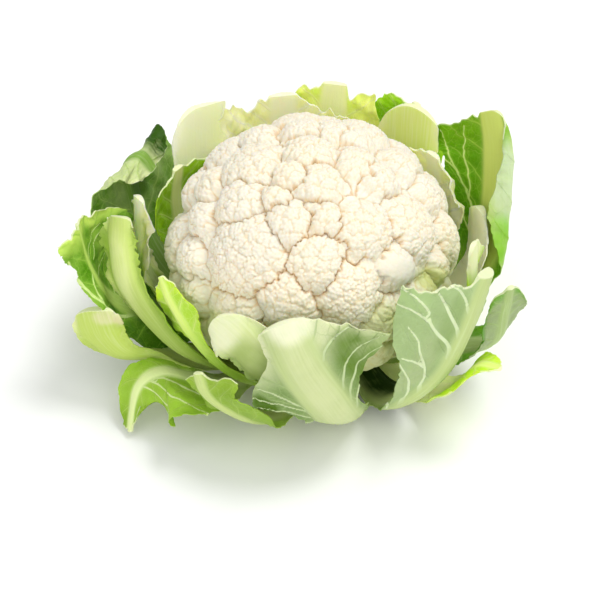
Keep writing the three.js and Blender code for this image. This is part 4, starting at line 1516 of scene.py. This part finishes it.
LEAVES = (
    Leaf(
        name="leaf_front_rib",
        path=((286, 27.5, 13), (284, 52, 9.5), (281, 76, 27), (275, 92, 50), (267, 96, 77), (260, 91, 101)),
        rib=(8, 11.5, 13, 13, 12.5, 12.5),
        bulk=(4.4, 6.5, 6.5, 5, 4, 3.5),
        ccw=Blade(
            width=(9.6, 11.5, 13.1, 14, 14.6, 14.6, 14.6, 15, 29, 45, 36),
            curl=(0, 0, 10, 20, 20, 10),
            slant=0.15,
        ),
        cw=Blade(
            width=(9.6, 11.5, 13.1, 14.6, 14.6, 16, 24, 35, 29, 14.5, 14.5),
            curl=(0, 0, 0, 10, 20, 20),
            slant=0.03,
        ),
        roll=(0, 0, 0, 4, 8, 8),
        wave=(2, 3, 0.4),
        look=Look.RIB_FRONT,
        vein_gap=16.0,
        veins=(
            Vein(((84, 10), (90, 14), (95, 19), (101.3, 27), (103, 44)), 0.8, 0.35),
            Vein(((93, 11), (99, 15), (104, 19), (109.0, 27), (111, 44)), 0.8, 0.35),
            Vein(((76, 11), (83, 14), (88, 19), (92, 28), (95, 44)), 0.7, 0.35),
            Vein(((114, 11), (120, 15), (125, 24), (127, 38)), 0.8),
            Vein(((84, -10), (92, -13), (101, -17), (110, -23), (118.8, -33)), 0.8, 0.35),
            Vein(((76, -10), (84, -13), (93, -18), (102, -25), (112, -36)), 0.8, 0.35),
            Vein(((67, -10), (75, -14), (84, -19), (93, -27), (100, -36)), 0.7, 0.35),
            Vein(((57, -11), (66, -15), (76, -22), (84, -30)), 0.8),
        ),
        patches=(
            Patch(96, 1, 74, 8.5, (0.66, 0.71, 0.38), 0.6),
            # Pale at the cut top: partly the cut's own pale flesh, partly a painted highlight
            Patch(140, 4, 12, 14, (0.86, 0.87, 0.62), 0.8),
            # Dark green on the cw blade's lower edge: painted shade, standing in for the shaded leaf beneath
            Patch(98, -29, 12, 7, (0.07, 0.15, 0.003), 0.95),
            Patch(104, 26, 26, 12, (0.12, 0.22, 0.02), 0.85),
            Patch(92, 40, 26, 12, (0.22, 0.34, 0.08), 0.6),
        ),
    ),
    Leaf(
        name="leaf_front_inner",
        path=(
            (268, 27.5, 20.5), (267, 50, 20.5), (264, 74, 38), (259, 85, 60),
            (248, 86, 76), (235, 84, 86),
        ),
        rib=(6, 9, 11.5, 12, 12, 12),
        bulk=(4, 4, 4, 3.5, 3, 3),
        ccw=Blade(width=(7.6, 10.6, 14, 18, 24, 22), curl=(0, 0, 10, 15, 20, 20), slant=0.3),
        cw=Blade(width=(7.6, 10.6, 14, 15, 16, 15), curl=(0, 0, 10, 10, 10, 10), slant=0.02),
        wave=(1.2, 4, 0.1),
        look=Look.WHITE_GREEN,
        ragged=2.0,
        fray=1.8,
        torn=9.0,
        crinkle=1.3,
        patches=(
            Patch(90, -3, 20, 15, (0.28, 0.40, 0.07), 0.6),
            Patch(116, -2, 12, 16, (0.84, 0.86, 0.58), 0.7),
        ),
    ),
    Leaf(
        name="leaf_front_low",
        path=((252.5, 27.5, 6.5), (251, 54, 8), (247, 75, 19), (243, 89, 33), (237, 97, 47), (234, 97, 59)),
        rib=(8, 8.5, 7, 5, 4, 3),
        bulk=(4.4, 4, 3, 2.5, 2, 1.6),
        ccw=Blade(width=(9.6, 11, 14, 21, 22, 21), curl=(0, 0, 0, 10, 10, 0), slant=0.05),
        cw=Blade(width=(9.6, 12, 14, 12, 10, 9), slant=0.05),
        wave=(1.5, 2.5, 0.2),
        look=Look.LOW_GREEN,
    ),
    Leaf(
        name="leaf_front_left_hanging",
        path=((212, 27.5, 6.5), (215, 54, 10), (216, 76, 24), (211, 91, 31), (210, 104, 24), (214, 114, 4)),
        rib=(8, 7, 5, 3.5, 2.5, 1.5),
        bulk=(4.4, 4, 3, 2.5, 2, 1.2),
        ccw=Blade(width=(9.6, 11, 24, 38, 27, 6), curl=(0, 0, -5, -5, -8, -10), slant=0.1),
        cw=Blade(width=(9.6, 9, 7.6, 11, 13, 5)),
        roll=(0, 0, -5, -8, -5, 0),
        wave=(2, 2, 0.6),
        look=Look.HANGING,
        fray=1.2,
        vein_gap=16.0,
        veins=(
            Vein(((82, 1), (74, 3), (66, 5), (56.8, 9), (46, 15), (34, 22)), 1.0),
            Vein(((80, 1), (72, 8), (64, 16), (54, 24), (44, 30)), 0.9),
            Vein(((86, 1), (80, 10), (72, 20), (62, 30)), 0.9),
        ),
    ),
    Leaf(
        name="leaf_left_broad",
        path=(
            (161, 27.5, 13.5), (168, 58, 14), (178, 86, 30), (186, 103, 47),
            (189, 111, 64), (188, 117, 82), (186, 120, 101),
        ),
        rib=(7, 9, 8, 6, 4, 3, 1.5),
        bulk=(4, 4.5, 4, 3, 2.4, 1.6, 1),
        ccw=Blade(width=(8.6, 12, 24, 24, 18, 14, 18), curl=(0, 0, 0, 0, 0, -50, -90), slant=0.02),
        cw=Blade(width=(8.6, 10.6, 14, 30, 46, 50, 44), curl=(0, 0, 10, 30, 50, 60, 60), slant=0.1),
        wave=(2, 2.5, 0.3),
        look=Look.BROAD_LEFT,
        fray=1.2,
        vein_gap=19.0,
        veins=(
            Vein(((60, 3), (76, 9), (92, 13), (106, 14), (118, 14), (134, 15)), 1.3, 0.7),
            Vein(((66, 4), (80, 3), (92, 3), (104.7, 1), (106, -12), (100.4, -24)), 1.0),
            Vein(((104, 12), (114, 6), (124, -4), (130, -14), (134, -28)), 0.9),
            Vein(((56, 2), (66, 0), (76, -2), (76, -12), (72, -26)), 0.9),
            Vein(((46, 2), (54, -4), (60, -12), (62, -24)), 0.8),
            Vein(((118, -9), (126, -20), (126, -34)), 0.7),
        ),
    ),
    Leaf(
        name="leaf_left_rib",
        path=(
            (213, 27.5, 20.5), (215, 50, 22), (214, 76, 42), (207, 89, 59),
            (195, 97, 72), (187, 99, 86), (182, 98, 99),
        ),
        rib=(5.5, 7.5, 9, 9.5, 9.5, 8.5, 7.5),
        bulk=(4, 5, 5.5, 5.5, 5.5, 5, 4.5),
        ccw=Blade(width=(7.1, 9.1, 11, 12, 12, 11, 9.5), slant=0.02),
        cw=Blade(width=(7.1, 9.1, 11, 13, 16, 15, 12), curl=(0, 0, 10, 20, 20, 20, 10)),
        roll=(0, 0, 10, 30, 45, 45, 45),
        wave=(1, 4, 0.3),
        look=Look.RIBBED_GREEN,
        ragged=2.2,
        fray=1.8,
        crinkle=1.4,
        patches=(
            Patch(104, 0, 28, 7, (0.80, 0.84, 0.42), 0.5),
            Patch(72, -15, 52, 5, (0.80, 0.86, 0.34), 0.95),
        ),
    ),
    Leaf(
        name="leaf_left_inner",
        path=((181, 27.5, 20.5), (180, 50, 21), (179, 74, 36), (175, 88, 56), (169, 92, 74), (165, 94, 91)),
        rib=(6, 7, 6.5, 6, 6, 6),
        bulk=(3.5, 3.5, 3, 3, 3, 2.5),
        ccw=Blade(width=(7.6, 9, 12, 15, 16, 14), curl=(0, 0, 10, 15, 10, 10), slant=0.14),
        cw=Blade(width=(7.6, 9, 12, 16, 18, 14), curl=(0, 0, 10, 15, 15, 10), slant=0.05),
        roll=(0, 0, 0, 10, 35, 40),
        wave=(1.6, 4.5, 0.2),
        look=Look.CRINKLED_YELLOW,
        ragged=2.6,
        torn=5.0,
        crinkle=1.7,
        vein_gap=11.0,
        patches=(
            Patch(60, 0, 26, 22, (0.30, 0.44, 0.05), 0.8),
            Patch(90, 6, 16, 9, (0.76, 0.84, 0.30), 0.8),
        ),
    ),
    Leaf(
        name="leaf_left_tongue",
        path=(
            (240.5, 27.5, 20.5), (238, 50, 21), (233, 72, 42), (224, 81, 60),
            (213, 84, 75), (206, 85, 87),
        ),
        rib=(3.5, 4, 4, 3.5, 3, 2),
        bulk=(3, 3, 2.5, 2, 1.5, 1),
        ccw=Blade(width=(5.1, 5.6, 5.6, 7, 12, 9), curl=(0, 0, 8, 8, 8, 0), slant=0.1),
        cw=Blade(width=(5.1, 5.6, 5.6, 6, 10, 8), curl=(0, 0, 8, 8, 8, 0), slant=0.05),
        roll=(0, 0, 0, 10, 20, 20),
        wave=(1, 2, 0),
        look=Look.LIME,
        ragged=1.8,
        crinkle=1.4,
        patches=(Patch(40, 0, 42, 14, (0.46, 0.70, 0.08), 0.95),),
    ),
    Leaf(
        name="leaf_back_left_strip",
        path=(
            (145, 27.5, 20.5), (145, 50, 21), (146, 72, 36), (147, 84, 54),
            (148, 86.5, 74), (147, 85, 93),
        ),
        rib=(6, 7, 7, 6, 5, 4),
        bulk=(3.5, 3.5, 3, 2.5, 2, 2),
        ccw=Blade(width=(7.6, 9, 14, 20, 24, 22), curl=(0, 0, 10, 15, 20, 20), slant=0.05),
        cw=Blade(width=(7.6, 9, 14, 20, 26, 26), curl=(0, 0, 10, 15, 20, 20), slant=0.02),
        wave=(1, 2, 0.5),
        look=Look.YOUNG_GREEN,
    ),
    Leaf(
        name="leaf_back_left_dark",
        path=(
            (156, 27.5, 6.5), (154, 58, 9), (153, 86, 25), (152, 102, 44),
            (151, 110, 66), (151, 113, 88), (150, 106, 96), (149, 99, 88),
        ),
        rib=(8, 10, 9, 8, 6, 5, 4, 3),
        bulk=(4.4, 5, 4.5, 3.5, 3, 2, 1.6, 1.2),
        ccw=Blade(width=(9.6, 12, 20, 28, 36, 38, 28, 18), curl=(0, 0, 10, 10, 10, 0, 0, 0), slant=0.04),
        cw=Blade(width=(9.6, 12, 20, 28, 36, 38, 28, 18), curl=(0, 0, 10, 10, 10, 0, 0, 0), slant=0.02),
        wave=(1.5, 2.5, 0.8),
        look=Look.FOLDED_DARK,
        crinkle=1.2,
        vein_gap=18.0,
        patches=(
            Patch(144, -22, 24, 19, (0.03, 0.09, 0.002), 1.0),
            Patch(96, -6, 10, 9, (0.05, 0.13, 0.003), 0.7),
        ),
    ),
    Leaf(
        name="leaf_back_left_pale",
        path=(
            (127, 27.5, 13.5), (126, 58, 15), (127, 82, 34), (129, 94, 56),
            (129, 99, 82), (127, 102, 108),
        ),
        rib=(7.2, 12, 14, 15.5, 16, 14),
        bulk=(4.4, 5.5, 5, 4.5, 4, 3),
        ccw=Blade(width=(8.8, 14, 18, 22, 21, 16), curl=(0, 0, 10, 20, 20, 10), slant=0.08),
        cw=Blade(width=(8.8, 14, 18, 21, 20, 17), curl=(0, 0, 10, 20, 20, 10)),
        wave=(1, 2, 0.1),
        look=Look.SMOOTH_PALE,
    ),
    Leaf(
        name="leaf_back_inner",
        path=((98, 27.5, 20.5), (98, 50, 21), (99, 74, 38), (100, 86, 58), (100, 90, 84), (100, 90, 111)),
        rib=(7, 9, 10, 10, 9, 8),
        bulk=(4, 4, 3.5, 3, 3, 2.5),
        ccw=Blade(width=(8.6, 11, 18, 28, 36, 36), curl=(0, 0, 10, 20, 30, 30), slant=0.05),
        cw=Blade(width=(8.6, 11, 18, 28, 38, 40), curl=(0, 0, 10, 20, 30, 30), slant=0.06),
        wave=(2, 5, 0.3),
        look=Look.CRINKLED_YELLOW,
        ragged=2.4,
        torn=7.0,
        crinkle=2.3,
        vein_gap=11.0,
    ),
    Leaf(
        name="leaf_back_outer",
        path=((89.5, 27.5, 13.5), (89, 58, 15), (88, 84, 34), (86, 98, 56), (84, 103, 82), (83, 106, 107)),
        rib=(7.2, 11, 12, 11, 9, 7),
        bulk=(4.4, 5, 5, 4, 3.5, 3),
        ccw=Blade(width=(8.8, 13, 20, 30, 34, 28), curl=(0, 0, 10, 20, 25, 10), slant=0.04),
        cw=Blade(width=(8.8, 13, 18, 24, 28, 24), curl=(0, 0, 10, 20, 25, 10)),
        wave=(2.2, 4, 0.6),
        look=Look.BRIGHT_LIME,
        ragged=2.2,
        torn=7.0,
        crinkle=1.9,
        vein_gap=14.0,
    ),
    Leaf(
        name="leaf_back_right_pale",
        path=((52.5, 27.5, 13.5), (52, 58, 15), (52, 82, 34), (54, 93, 56), (56, 97, 82), (57, 100, 107)),
        rib=(7.2, 12, 15, 17, 17, 16),
        bulk=(4.4, 5.5, 5, 4.5, 4, 3),
        ccw=Blade(width=(8.8, 14, 19, 23, 23, 19), curl=(0, 0, 10, 20, 20, 10), slant=0.1),
        cw=Blade(width=(8.8, 14, 17, 18.6, 18.6, 17.6), curl=(0, 0, 10, 20, 20, 10), slant=0.06),
        wave=(1, 2, 0.7),
        look=Look.SMOOTH_YELLOW,
    ),
    Leaf(
        name="leaf_back_right_outer",
        path=((66, 27.5, 6.5), (66, 56, 8), (65, 88, 26), (64, 108, 52), (62, 113, 78), (60, 116, 97)),
        rib=(8, 10, 10, 8, 5, 2.5),
        bulk=(4.4, 5, 4.5, 4, 2.6, 1.6),
        ccw=Blade(width=(9.6, 12, 20, 26, 26, 20), curl=(0, 0, 10, 20, 10, 0), slant=0.04),
        cw=Blade(width=(9.6, 12, 20, 26, 26, 20), curl=(0, 0, 10, 20, 10, 0), slant=0.1),
        wave=(2, 3, 0),
        look=Look.YOUNG_GREEN,
    ),
    Leaf(
        name="leaf_right_inner",
        path=((43, 27.5, 20.5), (43, 50, 21), (42, 72, 36), (41, 84, 54), (40, 87, 76), (40, 84.5, 96)),
        rib=(6, 8, 8, 7, 6, 5),
        bulk=(3.5, 3.5, 3, 2.5, 2.5, 2),
        ccw=Blade(width=(7.6, 10, 16, 24, 30, 30), curl=(0, 0, 10, 20, 30, 30), slant=0.1),
        cw=Blade(width=(7.6, 10, 16, 24, 30, 30), curl=(0, 0, 10, 20, 30, 30), slant=0.14),
        wave=(2, 5, 0.3),
        look=Look.CRINKLED_YELLOW,
        ragged=2.2,
        torn=4.5,
        crinkle=1.6,
        vein_gap=11.0,
    ),
    Leaf(
        name="leaf_right_broad",
        path=(
            (15.5, 27.5, 13.5), (14, 58, 14), (12, 82, 33), (13, 96, 57),
            (17, 102, 82), (24, 107, 106), (31, 110, 123),
        ),
        rib=(7.2, 12, 13, 13, 13, 11, 8),
        bulk=(4.4, 5.5, 5, 5, 4, 3.5, 2.4),
        ccw=Blade(width=(8.8, 14, 18, 30, 40, 38, 50), curl=(0, 0, 10, 20, 32, 14, 0)),
        cw=Blade(width=(8.8, 14, 15, 17, 25, 24, 14), fold=(0, 0, 0, 20, 80, 100, 80), slant=0.12),
        roll=(0, 0, 0, 6, 8, 10, 12),
        wave=(2, 3, 0.2),
        look=Look.DARK,
        vein_gap=20.0,
        veins=(
            Vein(((88, 11), (100, 18), (116, 26), (132, 32.5), (146, 36), (161, 38.7)), 1.1),
            Vein(((108, 22), (120, 21), (134, 24), (148, 23), (160, 21)), 0.8),
            Vein(((124, 29), (132, 36), (140, 44)), 0.7),
            Vein(((76, 11), (86, 19), (98, 28), (108, 36)), 0.8),
        ),
        patches=(
            Patch(124, -17, 26, 10, (0.58, 0.68, 0.44), 0.7),
            Patch(96, -20, 14, 10, (0.20, 0.54, 0.003), 0.7),
        ),
    ),
    Leaf(
        name="leaf_right_stub",
        path=((8, 27.5, 20.5), (8, 50, 21), (8, 74, 36), (10, 87, 53), (14, 91, 68), (18, 92, 81)),
        rib=(6.6, 9, 10, 11, 11, 10),
        bulk=(4, 4, 4, 4, 4, 3.5),
        ccw=Blade(width=(8.2, 11, 12, 13, 13, 12), slant=0.05),
        cw=Blade(width=(8.2, 11, 11, 16, 18, 11), curl=(0, 0, 0, 10, 10, 0), slant=0.1),
        wave=(0.8, 2, 0),
        look=Look.SMOOTH_PALE,
    ),
    Leaf(
        name="leaf_right_small",
        path=(
            (334, 27.5, 20.5), (336, 50, 21), (338, 72, 36), (339, 84, 54),
            (339, 87, 78), (340, 85.5, 101),
        ),
        rib=(5.5, 5.5, 5.5, 6, 6, 5),
        bulk=(3.5, 3, 3, 2.5, 2, 1.5),
        ccw=Blade(width=(7.1, 8, 11, 15, 17, 13), curl=(0, 0, 8, 10, 10, 0), slant=0.05),
        cw=Blade(width=(7.1, 8, 10, 12, 12, 8), curl=(0, 0, 8, 10, 10, 0), slant=0.1),
        wave=(1.5, 3, 0.3),
        look=Look.YOUNG_GREEN,
        patches=(
            Patch(112, 0, 14, 16, (0.86, 0.90, 0.50), 0.9),
            Patch(88, 0, 18, 16, (0.30, 0.52, 0.03), 0.6),
        ),
    ),
    Leaf(
        name="leaf_front_right",
        path=(
            (325, 28.6, 13.5), (312, 54, 10.5), (309, 76, 25), (315, 92, 50),
            (320, 99, 78), (324, 104, 109),
        ),
        rib=(7.6, 9, 8.5, 8, 7.5, 6.5),
        bulk=(4.4, 6, 6, 6, 5.5, 5),
        ccw=Blade(width=(9.2, 11, 10.5, 10, 10, 9)),
        cw=Blade(width=(9.2, 10.6, 12, 28, 44, 48), curl=(0, 0, 10, 30, 50, 60), slant=0.03),
        wave=(2, 2.5, 0.1),
        look=Look.GLAUCOUS,
        vein_gap=19.0,
        veins=(
            Vein(
                (
                    (100, -6), (106, -7.5), (111.7, -13), (118, -21),
                    (124.8, -27.3), (132.5, -31.2), (139, -40), (142.4, -49),
                ),
                1.3,
            ),
            Vein(((124.8, -27.3), (129, -34), (131.1, -40), (132.6, -49)), 0.9),
            Vein(((112, -5), (118, -8), (126, -15), (137.7, -24.8), (143, -31), (145, -42)), 1.2),
            Vein(((127, -5), (134, -9), (138.8, -13), (144, -19), (146.4, -25)), 1.0),
            Vein(((72, -5), (79, -9), (86, -13), (95, -18), (104, -25), (113.3, -30), (121, -38)), 1.1),
            Vein(((58, -6), (70, -10), (80, -18), (90, -27), (98, -35)), 1.0),
            Vein(((95, -18), (99, -26), (101, -34)), 0.8),
            Vein(((46, -6), (58, -12), (68, -20), (76, -28)), 0.9),
        ),
        patches=(
            # Near-black at the root: painted shadow in the hollow between this leaf and the front leaves
            Patch(20, 6, 34, 16, (0.02, 0.05, 0.006), 1.0),
            Patch(92, -20, 30, 10, (0.42, 0.50, 0.25), 0.5),
            Patch(122, -14, 22, 8, (0.25, 0.37, 0.11), 0.5),
        ),
    ),
    Leaf(
        name="leaf_right_outer",
        path=((10, 27.5, 6.5), (1, 58, 7), (349, 86, 22), (339, 102, 46), (334, 108, 74), (331, 112, 94)),
        rib=(7.6, 8, 6, 4, 3, 2),
        bulk=(4.4, 4, 3.5, 2.5, 2, 1.5),
        ccw=Blade(width=(9.2, 11, 14, 16, 15, 9), curl=(0, 0, 10, 10, 0, -20), slant=0.1),
        cw=Blade(width=(9.2, 11, 13, 14, 14, 8), curl=(0, 0, 10, 10, 0, 0), slant=0.1),
        roll=(0, 0, 0, -20, -35, -35),
        wave=(1.5, 2, 0.3),
        look=Look.RIMMED,
        patches=(Patch(122, -15, 30, 4, (0.10, 0.34, 0.003), 0.8),),
    ),
    Leaf(
        name="leaf_front_right_low",
        path=(
            (333, 27.5, 5.2), (336, 56, 5.2), (328, 80, 14), (321, 96, 36),
            (322, 106, 52), (323, 118, 55),
        ),
        rib=(7.6, 8, 6, 4, 3, 2),
        bulk=(4.4, 4, 3, 2, 1.5, 1),
        ccw=Blade(width=(9.2, 11, 12, 12, 13, 7), curl=(0, 0, 10, 10, 0, 0)),
        cw=Blade(width=(9.2, 11, 13, 12, 13, 7), curl=(0, 0, 10, 10, 0, 0), slant=0.1),
        wave=(1.5, 2, 0.3),
        look=Look.LIME,
    ),
    Leaf(
        name="leaf_left_band",
        path=(
            (197, 27.5, 13.5), (197.5, 60, 14), (198, 86, 26), (199, 104, 34),
            (197, 114, 46), (195, 117, 60),
        ),
        rib=(8, 10, 10.4, 12, 12, 12),
        bulk=(4.4, 5.5, 5, 4.5, 4, 3.5),
        ccw=Blade(width=(9.6, 11.6, 13, 15, 16, 15), slant=0.02),
        cw=Blade(width=(9.6, 11.6, 15, 17, 17, 15), slant=0.1),
        roll=(0, 5, 32, 48, 54, 55),
        wave=(1, 3, 0.2),
        look=Look.PALE_OUTSIDE,
        torn=6.0,
        crinkle=0.6,
        patches=(
            Patch(106, 8, 8, 9, (0.80, 0.74, 0.48), 0.6),
            Patch(101, 15, 6, 5, (0.76, 0.60, 0.42), 0.5),
        ),
    ),
)


@dataclass(frozen=True)
class FloorFinish:
    """The white sweep that the head rests on."""

    paint: Colour = (0.93, 0.93, 0.93)
    grain_scale: float = 300.0
    rough: float = 0.7
    sheen: float = 0.2

    def material(self) -> bpy.types.Material:
        """Builds the material.

        Returns:
            The finished material.
        """
        desk = Desk("floor_paint")
        rough = self.rough + 0.1 * desk.grain(desk.place(), self.grain_scale)
        return desk.flesh({"Base Color": self.paint, "Roughness": rough, "Specular IOR Level": self.sheen})


@dataclass(frozen=True)
class Lamp:
    """A soft lamp far off.

    azimuth and elevation say where it hangs and softness how wide it looks from the head, all in degrees.
    """

    name: str
    strength: float
    azimuth: float
    elevation: float
    softness: float

    def hang(self) -> None:
        """Hangs the lamp."""
        lamp = bpy.data.lights.new(self.name, "SUN")
        lamp.energy = self.strength
        lamp.angle = math.radians(self.softness)
        holder = bpy.data.objects.new(self.name, lamp)
        bpy.context.collection.objects.link(holder)
        turn, rise = math.radians(self.azimuth), math.radians(self.elevation)
        way = Vector((math.cos(turn) * math.cos(rise), math.sin(turn) * math.cos(rise), math.sin(rise)))
        holder.rotation_euler = way.to_track_quat("Z", "Y").to_euler()


@dataclass
class Studio:
    """The floor, the light and the camera."""

    floor_width: float = 8000.0
    elevation: float = 40.0
    distance: float = 1100.0
    frame_width: float = 314.0
    aim: tuple[float, float, float] = (-6.3, 0.0, 66.0)
    aim_drop: float = 19.9
    sensor: float = 36.0
    sky: float = 0.57
    sky_colour: Colour = (0.99, 0.995, 1.0)
    key: Lamp = Lamp("key", 1.42, 20.0, 67.0, 24.0)
    fill: Lamp = Lamp("fill", 1.3, 270.0, 42.0, 80.0)
    finish: FloorFinish = FloorFinish()

    def floor(self) -> bpy.types.Object:
        """Lays the floor under the stalk's cut face.

        Returns:
            The floor.
        """
        clear_selection()
        bpy.ops.mesh.primitive_plane_add(size=self.floor_width * MM, location=(0, 0, 0))
        floor = bpy.context.object
        floor.name = "studio_floor"
        floor.data.materials.append(self.finish.material())
        return floor

    def light(self) -> None:
        """Hangs a soft key behind on the right and a softer fill in front, under a bright even sky."""
        self.key.hang()
        self.fill.hang()
        world = bpy.data.worlds.new("sky")
        world.use_nodes = True
        sky = world.node_tree.nodes["Background"]
        sky.inputs["Color"].default_value = (*self.sky_colour, 1.0)
        sky.inputs["Strength"].default_value = self.sky
        bpy.context.scene.world = world
        bpy.context.scene.view_settings.view_transform = "Standard"

    def camera(self) -> bpy.types.Object:
        """Sets the camera at the photograph's angle.

        Returns:
            The camera.
        """
        rise = math.radians(self.elevation)
        up = Vector((0, math.sin(rise), math.cos(rise)))
        back = Vector((0, -math.cos(rise), math.sin(rise)))
        lens = bpy.data.cameras.new("camera")
        lens.sensor_width = self.sensor
        lens.lens = self.sensor * self.distance / self.frame_width
        camera = bpy.data.objects.new("camera", lens)
        bpy.context.collection.objects.link(camera)
        camera.location = (Vector(self.aim) - up * self.aim_drop + back * self.distance) * MM
        camera.rotation_euler = (-back).to_track_quat("-Z", "Y").to_euler()
        bpy.context.scene.camera = camera
        return camera


def report(piece: bpy.types.Object) -> None:
    """Logs a piece's name and size."""
    LOG.info("%s: %d faces", piece.name, len(piece.data.polygons))


def main() -> None:
    """Builds the head piece by piece, then the studio round it."""
    logging.basicConfig(level=logging.INFO, format="%(message)s")
    report(Curd().build())
    report(Stalk().build())
    looks = {look: look.value.material("leaf_" + look.name.lower()) for look in Look}
    for leaf in LEAVES:
        blade = leaf.build()
        blade.data.materials.append(looks[leaf.look])
        report(blade)
    studio = Studio()
    studio.floor()
    studio.light()
    studio.camera()
    bpy.context.view_layer.update()


if __name__ == "__main__":
    main()
